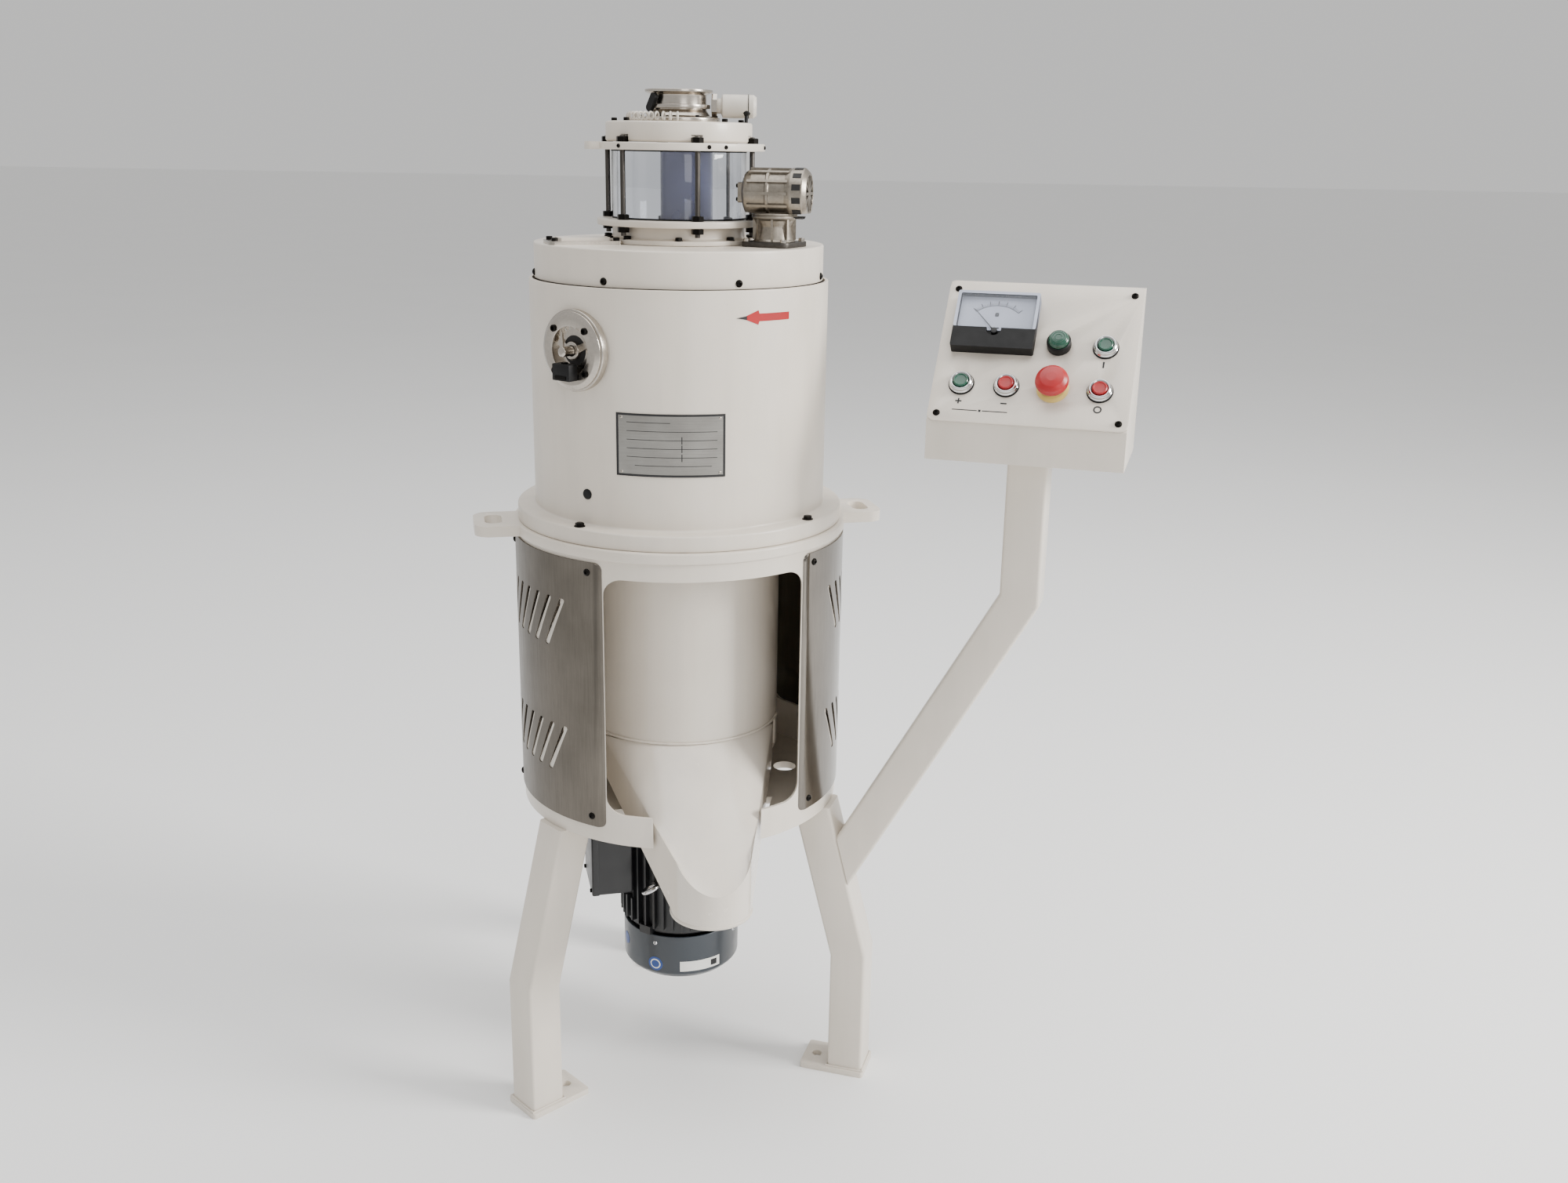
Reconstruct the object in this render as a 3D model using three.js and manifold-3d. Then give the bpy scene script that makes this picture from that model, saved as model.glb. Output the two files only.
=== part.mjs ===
// Vertical hammer mill on three legs, with a coaxial motor below the rotor, a sight glass above it,
// a motor-driven breaker ring for the grinding gap, and a control console on a bent arm.
// Millimetres, +Z up. The feeding front faces -Y. An azimuth is measured from the front towards +X.
import * as THREE from 'three';
import { mergeVertices } from 'three/addons/utils/BufferGeometryUtils.js';
import Module from 'manifold-3d';

const wasm = await Module();
wasm.setup();

// ---- clearances and resolution
const gap = 0.3;                 // between pieces that touch
const runClear = 0.9;            // radial clearance of turning and sliding fits
const large = 36;                // sides of the shell's and the housing's circles
const fine = 24;                 // sides of a middling circle
const medium = 18;               // sides of a knob's or a head's circle
const coarse = 12;               // sides of a small circle

// ---- lower shell
const shellRadius = 216;
const shellWall = 4;
const shellBottom = 406;         // height of its lower edge above the floor
const shellHeight = 375;
const shellTop = shellBottom + shellHeight;
const windowBottom = shellBottom + 41;
const windowTop = shellTop - 22;
const windowHalfWidth = Math.round(shellRadius * 0.58);
const windowCorner = 22;
const ventAzimuth = 92;          // middle of the windows behind the side covers
const ventWindowHalfWidth = Math.round(shellRadius * 0.625);
const ventWindowBottom = shellBottom + 64;
const ventWindowTop = shellTop - 41;

// ---- slotted side covers
const coverThickness = 2;
const coverStart = 36.5;         // azimuth of the front edge, degrees
const coverEnd = 148;
const coverBottom = shellBottom + 20;
const coverTop = shellTop - 4;
const slotWidth = 9;
const slotHeight = 66;
const slotRows = [coverBottom + 94, coverTop - 87];
const slotFirst = 56;
const slotPitch = 6.5;
const slotsPerRow = 7;
const slotLean = 0.24;

// ---- collecting drum and discharge chute
const drumRadius = Math.round(shellRadius * 0.616);
const drumWall = 2.5;
const shoulderHeight = shellBottom + 110;      // where the chute's top meets the drum
const drumFloorFront = shoulderHeight - 42;
const drumFloorSlope = 0.64;
const outletRadius = 52;
const outletForward = shellRadius + 16;        // outlet centre, in front of the mill's axis
const outletRim = shellBottom - 81;
const chuteFrontTop = outletRim + 46;          // top of the outlet collar at its front
const chuteSideTop = outletRim + 83;
const chuteDepthDrum = 44;
const chuteDepthOutlet = 62;
const chuteWall = 2.5;

// ---- lifting flange between the lower shell and the upper housing
const flangeRadius = shellRadius + 3;
const flangeThickness = 14;
const flangeBore = drumRadius - 5;
const lugReach = flangeRadius + 52;
const lugHalfWidth = 42;
const lugSlotWidth = 22;
const lugSlotLength = 46;

// ---- upper housing and lid
const housingRadius = shellRadius - 26;
const housingWall = 4;
const housingHeight = 322;       // above the lower shell
const housingTop = shellTop + housingHeight;
const ringRadius = flangeRadius - 6;
const ringThickness = 20;
const lidRadius = housingRadius - 7;
const lidHeight = 44;
const lidTop = housingTop + lidHeight;
const lidWall = 4;
const lidPlate = 9;

// ---- legs
const legAzimuths = { leg_left: -60, leg_right: 60, leg_rear: 180 };
const legTube = 50;
const tubeWall = 3;
const legTopRadius = shellRadius + 7;          // outer face where the leg meets the motor plate
const legFootRadius = legTopRadius + 57;       // outer face of the upright part
const legKnee = 190;
const footThickness = 8;
const footWidth = legTube + 10;
const footLength = legTube + 42;
const footToe = 3;               // the foot plate's edge past the tube
const footHoleRadius = 7;
const footHoleInset = 18;        // from the foot plate's inner end

// ---- motor
const motorPlateThickness = 10;
const motorLength = 202;
const motorBottom = shellBottom - motorLength;
const motorRadius = 75;
const finReach = motorRadius + 12;
const finCount = 16;
const motorFlangeRadius = motorRadius + 25;
const motorFlangeThickness = 12;
const motorSpigotRadius = 64;
const terminalBoxBottom = motorBottom + 58;
const terminalBoxHeight = 110;
const liftingEyeHeight = motorBottom + 81;
const liftingEyeAzimuth = -34;
const fanCoverRadius = motorRadius + 7;
const fanCoverBottom = motorBottom - 67;
const shaftRadius = 12;
const rotorCoreRadius = 40;

// ---- spindle, bearings and rotor
const spindleRadius = 15;
const bearingOuter = 36;
const bearingHeight = 20;
const bearingHousingRadius = 48;
const bearingHousingBottom = shellBottom + 124;
const millFloor = shellTop + 75;               // top face of the grinding chamber's floor
const millFloorThickness = 10;
const millFloorRadius = housingRadius - 30;
const ribCount = 4;
const rotorRadius = Math.round(housingRadius * 0.621);
const rotorBottom = millFloor + 16;
const rotorTop = housingTop - 95;
const discThickness = 8;
const rotorEye = rotorRadius - 56;
const hubRadius = 34;
const screenRadius = housingRadius - 34;
const screenWall = 2.5;
const screenSlots = 16;

// ---- gap adjustment: ring gear, breaker ring, pinion and actuator
const gearModule = lidRadius / 36.6;
const ringTeeth = 44;
const pinionTeeth = 10;
const gearThickness = 12;
const gearBottom = housingTop + 12;
const breakerPlate = 8;
const breakerOuter = housingRadius - 32;
const breakerInner = breakerOuter - 11;
const breakerBottom = rotorTop + 10;
const breakerTop = breakerBottom + 34;
const breakerTravel = 8;
const guidePinRadius = 5;
const guidePinCircle = gearModule * ringTeeth / 2 + 14;
const actuatorAzimuth = 50;
const gearboxRadius = gearModule * 4.8;
const gearboxFoot = 6;           // thickness of the gearbox's foot plate
const gearboxHeight = 34;
const actuatorHeadRadius = gearboxRadius * 9 / 8;
const actuatorHeadLength = gearboxRadius * 11 / 3;
const actuatorHeadTurn = -25;    // degrees, the head's axis from +X

// ---- hammers, which reach close to the breaker ring
const pinCircle = rotorRadius - 23;
const pinRadius = 6;
const hammerSets = 4;
const hammersPerSet = 3;
const hammerLength = breakerInner - 7 - pinCircle;
const hammerTail = 15;
const hammerWidth = 28;
const hammerThickness = 6;

// ---- gap indicator on the housing wall
const indicatorAzimuth = -50;
const indicatorHeight = breakerBottom + 10;
const indicatorRadius = 49;
const indicatorBore = 21;
const indicatorShaftRadius = 6;
const indicatorPinionRadius = 9;

// ---- sight glass assembly
const glassRadius = Math.round(housingRadius * 0.442);
const glassWall = 5;
const feedTubeRadius = glassRadius - 14;
const feedTubeWall = 3;
const feedTubeBottom = rotorTop + 22;
const sleeveInner = feedTubeRadius + 9;
const sleeveOuter = sleeveInner + 7;
const neckHeight = 21;
const neckTop = lidTop + neckHeight;
const neckRadius = glassRadius;
const lowerFlangeRadius = glassRadius + 19;
const lowerFlangeThickness = 8;
const glassHeight = 81;
const glassBottom = neckTop + lowerFlangeThickness + 1;
const glassTop = glassBottom + glassHeight;
const upperFlangeRadius = glassRadius + 23;
const upperFlangeThickness = 9;
const earAzimuth = -80;
const capRadius = glassRadius + 7;
const capHeight = 24;
const capTop = glassTop + upperFlangeThickness + gap * 2 + capHeight;
const rodCount = 6;
const rodStart = 4;
const rodCircle = glassRadius + 10;
const rodRadius = 3.5;
const rodNutRadius = 7;
const rodNutHeight = 7;
const inletRadius = 34;
const inletWall = 2.5;
const inletHeight = 38.4;
const ferruleRadius = inletRadius + 8;
const ferruleTop = capTop + inletHeight;
const sensorAzimuth = 78;

// ---- console and its arm
const armAzimuth = 60;
const armReach = legFootRadius + 180;          // centre of the upright post, from the mill's axis
const armTop = 907;
const armKnee = armTop - 183;
const armFoot = shellBottom - 76;              // height where the arm meets its leg
const consoleWidth = 236;
const consoleLip = 47;
const consoleDepth = 150;
const consoleSlope = 200;
const consoleTilt = 40;          // degrees, lean of the cover back from vertical
const consoleSheet = 2;
const buttonHoleRadius = 11;
const bezelRadius = 14.5;
const bezelHeight = 9;
const capButtonRadius = 9;
const capProud = 1.5;
const columns = {
  plus: Math.round(-0.35 * consoleWidth),
  minus: Math.round(-0.123 * consoleWidth),
  stop: Math.round(0.112 * consoleWidth),
  start: Math.round(0.342 * consoleWidth),
};
const upperRow = consoleSlope / 16;
const lowerRow = -0.24 * consoleSlope;
const mushroomRadius = 20;
const meterWidth = 100;
const meterHeight = 80;
const meterDepth = 15;
const meterCentre = {
  across: Math.round((columns.stop - bezelRadius - consoleWidth / 2) / 2),
  up: consoleSlope / 2 - meterHeight / 2 - 24,
};
const needleDrop = 14;           // needle's pivot below the meter's centre
const needleRest = 42;           // degrees, the idle needle's lean to the left

const radians = THREE.MathUtils.degToRad;

// ---- solids: every piece is a closed manifold before it becomes a mesh
function solid(geometry) {
  const bare = geometry.index ? geometry.toNonIndexed() : geometry.clone();
  bare.deleteAttribute('normal');
  bare.deleteAttribute('uv');
  const merged = mergeVertices(bare, 1e-3);
  const corners = merged.index.array;
  const triangles = [];
  for (let i = 0; i < corners.length; i += 3) {
    const [a, b, c] = [corners[i], corners[i + 1], corners[i + 2]];
    if (a !== b && b !== c && c !== a) triangles.push(a, b, c);
  }
  return new wasm.Manifold(new wasm.Mesh({
    numProp: 3,
    vertProperties: Float32Array.from(merged.attributes.position.array),
    triVerts: Uint32Array.from(triangles),
  }));
}

function geometryOf(body) {
  const mesh = body.getMesh();
  const geometry = new THREE.BufferGeometry();
  geometry.setAttribute('position', new THREE.BufferAttribute(mesh.vertProperties, 3));
  geometry.setIndex(new THREE.BufferAttribute(mesh.triVerts, 1));
  const flat = geometry.toNonIndexed();
  flat.computeVertexNormals();
  return flat;
}

function join(first, ...rest) {
  return rest.reduce((sum, body) => sum.add(body), first);
}

function cut(first, ...rest) {
  return rest.reduce((left, body) => left.subtract(body), first);
}

function turn(profile, sides = fine) {
  const points = profile.map(([r, z]) => new THREE.Vector2(r, z));
  return solid(new THREE.LatheGeometry(points, sides).rotateX(Math.PI / 2));
}

function disc(radius, low, high, sides = fine) {
  return turn([[0, low], [radius, low], [radius, high], [0, high]], sides);
}

function tube(inner, outer, low, high, sides = fine) {
  return turn([[inner, low], [outer, low], [outer, high], [inner, high], [inner, low]], sides);
}

function block(x0, x1, y0, y1, z0, z1) {
  const shape = new THREE.BoxGeometry(x1 - x0, y1 - y0, z1 - z0);
  return solid(shape.translate((x0 + x1) / 2, (y0 + y1) / 2, (z0 + z1) / 2));
}

function prism(points, low, high) {
  const shape = points instanceof THREE.Shape ? points
    : new THREE.Shape(points.map(([x, y]) => new THREE.Vector2(x, y)));
  const settings = { depth: high - low, bevelEnabled: false, curveSegments: 4 };
  return solid(new THREE.ExtrudeGeometry(shape, settings).translate(0, 0, low));
}

function roundedRectangle(halfWidth, low, high, corner) {
  const shape = new THREE.Shape();
  shape.moveTo(-halfWidth + corner, low);
  shape.absarc(halfWidth - corner, low + corner, corner, -Math.PI / 2, 0);
  shape.absarc(halfWidth - corner, high - corner, corner, 0, Math.PI / 2);
  shape.absarc(-halfWidth + corner, high - corner, corner, Math.PI / 2, Math.PI);
  shape.absarc(-halfWidth + corner, low + corner, corner, Math.PI, Math.PI * 1.5);
  shape.closePath();
  return shape;
}

// A shape drawn in the X-Z plane and pushed along Y between two depths.
function wallCutter(shape, yNear, yFar) {
  return prism(shape, 0, yFar - yNear).rotate([90, 0, 0]).translate([0, yFar, 0]);
}

function around(body, azimuth) {
  return body.rotate([0, 0, azimuth]);
}

function onCircle(body, radius, azimuth) {
  return around(body.translate([0, -radius, 0]), azimuth);
}

const unit = (azimuth) => [Math.sin(radians(azimuth)), -Math.cos(radians(azimuth))];

// ---- materials
const paint = { color: 0xddd6c9, roughness: 0.4, metalness: 0.0 };
const brushed = { color: 0x6f6b66, roughness: 0.35, metalness: 1.0 };
const stainless = { color: 0xb9b4ac, roughness: 0.3, metalness: 1.0 };
const castIron = { color: 0x55524e, roughness: 0.7, metalness: 0.8 };
const castAluminium = { color: 0x9a958c, roughness: 0.5, metalness: 0.9 };
const blackPaint = { color: 0x17181a, roughness: 0.5, metalness: 0.2 };
const bluePaint = { color: 0x2b333b, roughness: 0.45, metalness: 0.1 };
const chrome = { color: 0xd8d8d6, roughness: 0.1, metalness: 1.0 };
const clearGlass = { color: 0xdfe6ee, roughness: 0.05, metalness: 0.0, transparent: true, opacity: 0.35 };
const greenPlastic = { color: 0x14705a, roughness: 0.3, metalness: 0.0 };
const redPlastic = { color: 0xc8242e, roughness: 0.35, metalness: 0.0 };
const blackPlastic = { color: 0x101010, roughness: 0.5, metalness: 0.0 };
const palePlastic = { color: 0xc9c5bc, roughness: 0.5, metalness: 0.0 };

function piece(group, name, body, look) {
  const mesh = new THREE.Mesh(geometryOf(body), new THREE.MeshStandardMaterial(look));
  mesh.name = name;
  group.add(mesh);
}

// ---- outline of the chute in plan: the drum's circle and the outlet's circle with their tangents
const tangentAzimuth = 90 - Math.asin((drumRadius - outletRadius) / outletForward) * 180 / Math.PI;
const chuteSteps = 8;

// A body between a sloping top and a sloping underside, over the plan from the drum to the outlet.
function chuteBody(inset, topDrop, floorRise, rootRadius) {
  const rows = [];
  for (let i = 0; i <= chuteSteps; i += 1) {
    const azimuth = tangentAzimuth * (2 * i / chuteSteps - 1);
    const [sx, sy] = unit(azimuth);
    const near = [sx * rootRadius, sy * rootRadius];
    const tip = outletRadius - inset;
    const far = [sx * tip, -outletForward + sy * tip];
    const towardsFront = Math.cos(radians(azimuth * 90 / tangentAzimuth));
    const outletTop = chuteSideTop + (chuteFrontTop - chuteSideTop) * towardsFront;
    rows.push([
      [...near, shoulderHeight - topDrop],
      [...far, outletTop - topDrop],
      [...far, chuteSideTop - chuteDepthOutlet + floorRise - (chuteSideTop - chuteFrontTop) / 2],
      [...near, shoulderHeight - chuteDepthDrum + floorRise],
    ]);
  }
  const positions = rows.flat(2);
  const faces = [];
  for (let i = 0; i < chuteSteps; i += 1) {
    for (let k = 0; k < 4; k += 1) {
      const [a, b] = [i * 4 + k, i * 4 + (k + 1) % 4];
      faces.push(a, b, b + 4, a, b + 4, a + 4);
    }
  }
  const last = chuteSteps * 4;
  faces.push(0, 2, 1, 0, 3, 2, last, last + 1, last + 2, last, last + 2, last + 3);
  const geometry = new THREE.BufferGeometry();
  geometry.setAttribute('position', new THREE.Float32BufferAttribute(positions, 3));
  geometry.setIndex(faces);
  return solid(geometry);
}

function dischargeChute() {
  const root = drumRadius * Math.cos(Math.PI / fine) - gap;     // behind the drum's flats
  const bore = outletRadius - chuteWall;
  const outerSlab = chuteBody(0, 0, 0, root);
  const innerSlab = chuteBody(chuteWall, chuteWall, chuteWall, root - 6);
  const under = 200;
  const outerCut = chuteBody(0, 0, -under, root);
  const innerCut = chuteBody(chuteWall, chuteWall, -under, root);
  const outerCollar = disc(outletRadius, outletRim, shoulderHeight, fine)
    .translate([0, -outletForward, 0]).intersect(outerCut);
  const innerCollar = disc(bore, outletRim - 10, shoulderHeight, fine)
    .translate([0, -outletForward, 0]).intersect(innerCut);
  const drum = disc(drumRadius + gap, outletRim, shoulderHeight + 1);
  return cut(join(outerSlab, outerCollar), innerSlab, innerCollar, drum);
}

// Clearance cut for the chute where it leaves the shell and passes the motor plate.
function chuteNotch() {
  const margin = 4;
  const half = outletRadius + margin;
  const widest = drumRadius + margin;
  const outline = [];
  for (let i = 0; i <= chuteSteps; i += 1) {
    const [sx, sy] = unit(tangentAzimuth * (1 - 2 * i / chuteSteps));
    outline.push([sx * half, -outletForward + sy * half]);
  }
  const [wx, wy] = unit(tangentAzimuth);
  outline.push([-wx * widest, wy * widest], [wx * widest, wy * widest]);
  const innerStop = motorFlangeRadius;
  const [low, high] = [shellBottom - 20, windowBottom + windowCorner];
  const keep = block(-shellRadius, shellRadius, -innerStop, shellRadius, low - 1, high + 1);
  const collar = disc(half, low, high + 50).translate([0, -outletForward, 0]);
  return join(cut(prism(outline.reverse(), low, high), keep), collar);
}

function baseShell() {
  const inner = shellRadius - shellWall;
  const front = wallCutter(roundedRectangle(windowHalfWidth, windowBottom, windowTop, windowCorner),
    -shellRadius - 20, -shellRadius / 4);
  const vent = wallCutter(roundedRectangle(ventWindowHalfWidth, ventWindowBottom, ventWindowTop,
    windowCorner), -shellRadius - 20, -shellRadius / 4);
  const wall = cut(tube(inner, shellRadius, shellBottom, shellTop, large), front,
    around(vent, ventAzimuth), around(vent, -ventAzimuth));
  return cut(join(wall, motorPlate()), chuteNotch());
}

// The plate that carries the motor, welded into the foot of the shell.
function motorPlate() {
  const top = shellBottom + motorPlateThickness;
  const plate = disc(shellRadius - shellWall / 2, shellBottom, top, large);
  const vents = [];
  for (let i = 1; i < 5; i += 1) {
    vents.push(onCircle(disc(16, shellBottom - 9, top + 9, coarse), motorFlangeRadius + 50, 30 + 60 * i));
  }
  return cut(plate, disc(motorSpigotRadius + 1, shellBottom - 9, top + 9, medium), ...vents);
}

function sideCover(side) {
  const inner = shellRadius + gap;
  const outer = inner + coverThickness;
  const reach = shellRadius * 3;
  const wedge = [[0, 0]];
  for (let i = 0; i <= 6; i += 1) {
    const [x, y] = unit(coverStart + (coverEnd - coverStart) * i / 6);
    wedge.push([x * reach, y * reach]);
  }
  const ring = tube(inner, outer, coverBottom, coverTop, large)
    .intersect(prism(wedge, coverBottom - 1, coverTop + 1));
  const slots = [];
  for (const middle of slotRows) {
    for (let i = 0; i < slotsPerRow; i += 1) {
      const lean = slotLean * slotHeight / 2;
      const [half, low, high] = [slotWidth / 2, middle - slotHeight / 2, middle + slotHeight / 2];
      const shape = new THREE.Shape([[lean - half, low], [lean + half, low], [half - lean, high],
        [-half - lean, high]].map(([x, z]) => new THREE.Vector2(x, z)));
      slots.push(around(wallCutter(shape, -reach, -shellRadius + 20), slotFirst + slotPitch * i));
    }
  }
  const cover = cut(ring, ...slots);
  return side > 0 ? cover : cover.mirror([1, 0, 0]);
}

function liftingFlange() {
  const low = shellTop + gap;
  const high = low + flangeThickness - gap;
  const tab = roundedRectangle(lugHalfWidth, -lugReach, -flangeRadius / 2, 20);
  const slot = roundedRectangle(lugSlotLength / 2, -lugReach + 14, -lugReach + 14 + lugSlotWidth,
    lugSlotWidth / 2 - 0.5);
  const lug = cut(prism(tab, low, high), prism(slot, low - 5, high + 5));
  const plate = join(disc(flangeRadius, low, high), around(lug, 90), around(lug, -90));
  return cut(plate, disc(flangeBore, low - 5, high + 5));
}

// A square tube bent in the Y-Z plane; the line is its outer face, from the foot to the top.
function bentTube(line, size, wall) {
  const along = ([r0, z0], [r1, z1]) => new THREE.Vector2(r1 - r0, z1 - z0).normalize();
  const last = line.length - 1;
  const directions = line.map((point, i) => [along(line[Math.max(i - 1, 0)], line[Math.max(i, 1)]),
    along(line[Math.min(i, last - 1)], line[Math.min(i + 1, last)])]);
  const shifted = (distance, extra) => line.map(([r, z], i) => {
    const [before, after] = directions[i];
    const normal = before.clone().add(after).rotateAround(new THREE.Vector2(), Math.PI / 2).normalize();
    const scale = distance / normal.dot(new THREE.Vector2(-before.y, before.x));
    const push = { 0: -extra, [last]: extra }[i] ?? 0;
    return [r + normal.x * scale + before.x * push, z + normal.y * scale + before.y * push];
  });
  const outline = (inset, extra) => [...shifted(inset, extra), ...shifted(size - inset, extra).reverse()];
  const half = size / 2;
  const flat = (points, halfWidth) => prism(points, -halfWidth, halfWidth)
    .rotate([90, 0, 0]).rotate([0, 0, -90]);
  return cut(flat(outline(0, 0), half), flat(outline(wall, wall + 20), half - wall));
}

const legSlope = (legFootRadius - legTopRadius) / (shellBottom - gap - legKnee);

function leg() {
  const top = shellBottom - gap;
  const overshoot = 60;
  const line = [[legFootRadius, footThickness - 0.5], [legFootRadius, legKnee],
    [legTopRadius - overshoot * legSlope, top + overshoot]];
  const above = block(-200, 200, -500, 0, top, top + 400);
  const toe = -legFootRadius - footToe;
  const foot = block(-footWidth / 2, footWidth / 2, toe, toe + footLength, 0, footThickness);
  const hole = disc(footHoleRadius, -1, footThickness + 1, 12)
    .translate([0, toe + footLength - footHoleInset, 0]);
  const upright = cut(bentTube(line, legTube, tubeWall), above);
  return cut(join(upright, foot), hole);
}

function consoleArm() {
  const angle = Math.atan2(armKnee - armFoot, armReach - legFaceAt(armFoot));
  const overshoot = 60;
  const outer = armReach + legTube / 2;
  const lift = legTube / 2 * Math.tan((Math.PI / 2 - angle) / 2);
  const start = [legFaceAt(armFoot) - overshoot * Math.cos(angle) + legTube / 2 * Math.sin(angle),
    armFoot - overshoot * Math.sin(angle) - legTube / 2 * Math.cos(angle)];
  const line = [start, [outer, armKnee - lift], [outer, armTop - gap]];
  const [under, over] = [-50, armKnee];
  const legSide = prism([[0, under], [-legFaceAt(under) - gap, under], [-legFaceAt(over) - gap, over],
    [0, over]].reverse(), -legTube, legTube).rotate([90, 0, 0]).rotate([0, 0, 90]);
  return cut(bentTube(line, legTube, tubeWall), legSide);
}

function legFaceAt(height) {
  return legTopRadius + (shellBottom - gap - height) * legSlope;
}

function collectingDrum() {
  const wallInner = drumRadius - drumWall;
  const low = shoulderHeight - chuteDepthDrum;
  const tallest = shellTop - gap;
  const doorway = [[0, 0]];
  for (let i = 0; i <= 8; i += 1) {
    const [x, y] = unit((tangentAzimuth - 3) * (2 * i / 8 - 1));
    doorway.push([x * 300, y * 300]);
  }
  const door = prism(doorway, low + chuteWall, shoulderHeight - chuteWall);
  const wall = cut(tube(wallInner, drumRadius, low, shellTop), door);
  const angle = Math.atan(drumFloorSlope) * 180 / Math.PI;
  const middle = drumFloorFront + drumFloorSlope * wallInner;
  const plate = block(-200, 200, -250, 250, -drumWall, 0).rotate([angle, 0, 0])
    .translate([0, 0, middle]).intersect(disc(wallInner + 1, low, tallest));
  const passage = disc(bearingHousingRadius + gap, low, tallest);
  return cut(join(wall, plate), passage);
}

function upperHousing() {
  const [inner, low] = [housingRadius - housingWall, shellTop + flangeThickness + gap];
  const body = turn([[inner, low], [ringRadius, low], [ringRadius, low + ringThickness],
    [housingRadius, low + ringThickness], [housingRadius, housingTop], [inner, housingTop],
    [inner, low]], large);
  const bore = disc(indicatorBore, -40, 40, coarse).rotate([90, 0, 0])
    .translate([0, -housingRadius, indicatorHeight]);
  return join(cut(body, around(bore, indicatorAzimuth)), productCone());
}

// Guides the ground product from the housing's wall into the drum; welded inside the housing.
function productCone() {
  const outer = housingRadius - housingWall / 2;
  const low = shellTop + flangeThickness + gap;
  const top = millFloor - millFloorThickness - 12;
  return turn([[flangeBore, low], [flangeBore + 6, low], [outer, top - 2], [outer, top],
    [outer - 3, top], [flangeBore, low + 4], [flangeBore, low]], large);
}

function rotorFloor() {
  const low = millFloor - millFloorThickness;
  const reach = (housingRadius - housingWall) * Math.cos(Math.PI / large) - gap;
  const ribs = [];
  for (let i = 0; i < ribCount; i += 1) {
    ribs.push(around(block(-4, 4, -reach, -millFloorRadius + 10, low, millFloor), 45 + 90 * i));
  }
  const plate = disc(millFloorRadius, low, millFloor);
  return cut(join(plate, ...ribs), disc(bearingOuter + gap, low - 1, millFloor + 1, fine));
}

function screen() {
  const low = millFloor + gap;
  const high = breakerBottom - breakerTravel - 4;
  const ring = tube(screenRadius - screenWall, screenRadius, low, high);
  const slots = [];
  for (let i = 0; i < screenSlots; i += 1) {
    const slot = block(-9, 9, -screenRadius - 10, -screenRadius + 20, low + 14, high - 14);
    slots.push(around(slot, 360 * i / screenSlots));
  }
  return cut(ring, ...slots);
}

const pinionDistance = gearModule * (ringTeeth + pinionTeeth) / 2;

function housingLid() {
  const low = housingTop + gap;
  const ceiling = lidTop - lidPlate;
  const inner = lidRadius - lidWall;
  const shell = turn([[inner, low], [lidRadius, low], [lidRadius, lidTop], [0, lidTop],
    [0, ceiling], [inner, ceiling], [inner, low]], large);
  const pins = [90, 270].map((azimuth) => onCircle(
    disc(guidePinRadius, breakerBottom + 6, ceiling + 1, 12), guidePinCircle, azimuth));
  const shaftHole = onCircle(disc(9, ceiling - 5, lidTop + 5, coarse), pinionDistance, actuatorAzimuth);
  return cut(join(shell, ...pins), disc(feedTubeRadius + gap, ceiling - 5, lidTop + 5), shaftHole);
}

// Trapezium teeth on a pitch circle, with room between meshing flanks.
function gearOutline(teeth, phase) {
  const pitch = gearModule * teeth / 2;
  const [root, tip] = [pitch - gearModule * 1.15, pitch + gearModule * 0.75];
  const step = 2 * Math.PI / teeth;
  const points = [];
  for (let i = 0; i < teeth; i += 1) {
    const middle = step * i + phase;
    for (const [radius, share] of [[root, -0.29], [tip, -0.13], [tip, 0.13], [root, 0.29]]) {
      const angle = middle + step * share;
      points.push([radius * Math.cos(angle), radius * Math.sin(angle)]);
    }
  }
  return points;
}

function adjustingRingGear() {
  const bore = sleeveOuter + runClear * 2;
  const meshAngle = radians(actuatorAzimuth - 90);
  return cut(prism(gearOutline(ringTeeth, meshAngle), gearBottom, gearBottom + gearThickness),
    disc(bore, gearBottom - 1, gearBottom + gearThickness + 1));
}

function adjustingPinion() {
  const halfTooth = Math.PI / pinionTeeth;
  const facing = radians(actuatorAzimuth - 90) + Math.PI + halfTooth;
  const wheel = prism(gearOutline(pinionTeeth, facing), gearBottom, gearBottom + gearThickness);
  const [x, y] = unit(actuatorAzimuth);
  return join(wheel, disc(7, gearBottom, lidTop + 14, coarse))
    .translate([x * pinionDistance, y * pinionDistance, 0]);
}

function breakerRing() {
  const sleeveTop = gearBottom + gearThickness + 6;
  const ring = turn([[sleeveInner, breakerTop - breakerPlate], [breakerInner, breakerTop - breakerPlate],
    [breakerInner, breakerBottom], [breakerOuter, breakerBottom], [breakerOuter, breakerTop],
    [sleeveOuter, breakerTop], [sleeveOuter, sleeveTop], [sleeveInner, sleeveTop],
    [sleeveInner, breakerTop - breakerPlate]]);
  const guideHoles = [90, 270].map((azimuth) => onCircle(
    disc(guidePinRadius + runClear, breakerBottom, breakerTop + 5, 12), guidePinCircle, azimuth));
  const rack = onCircle(block(-indicatorPinionRadius - 6.4, -indicatorPinionRadius - 0.9, -10, 5,
    breakerBottom, breakerTop), breakerOuter, indicatorAzimuth);
  return join(cut(ring, ...guideHoles), rack);
}

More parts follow.
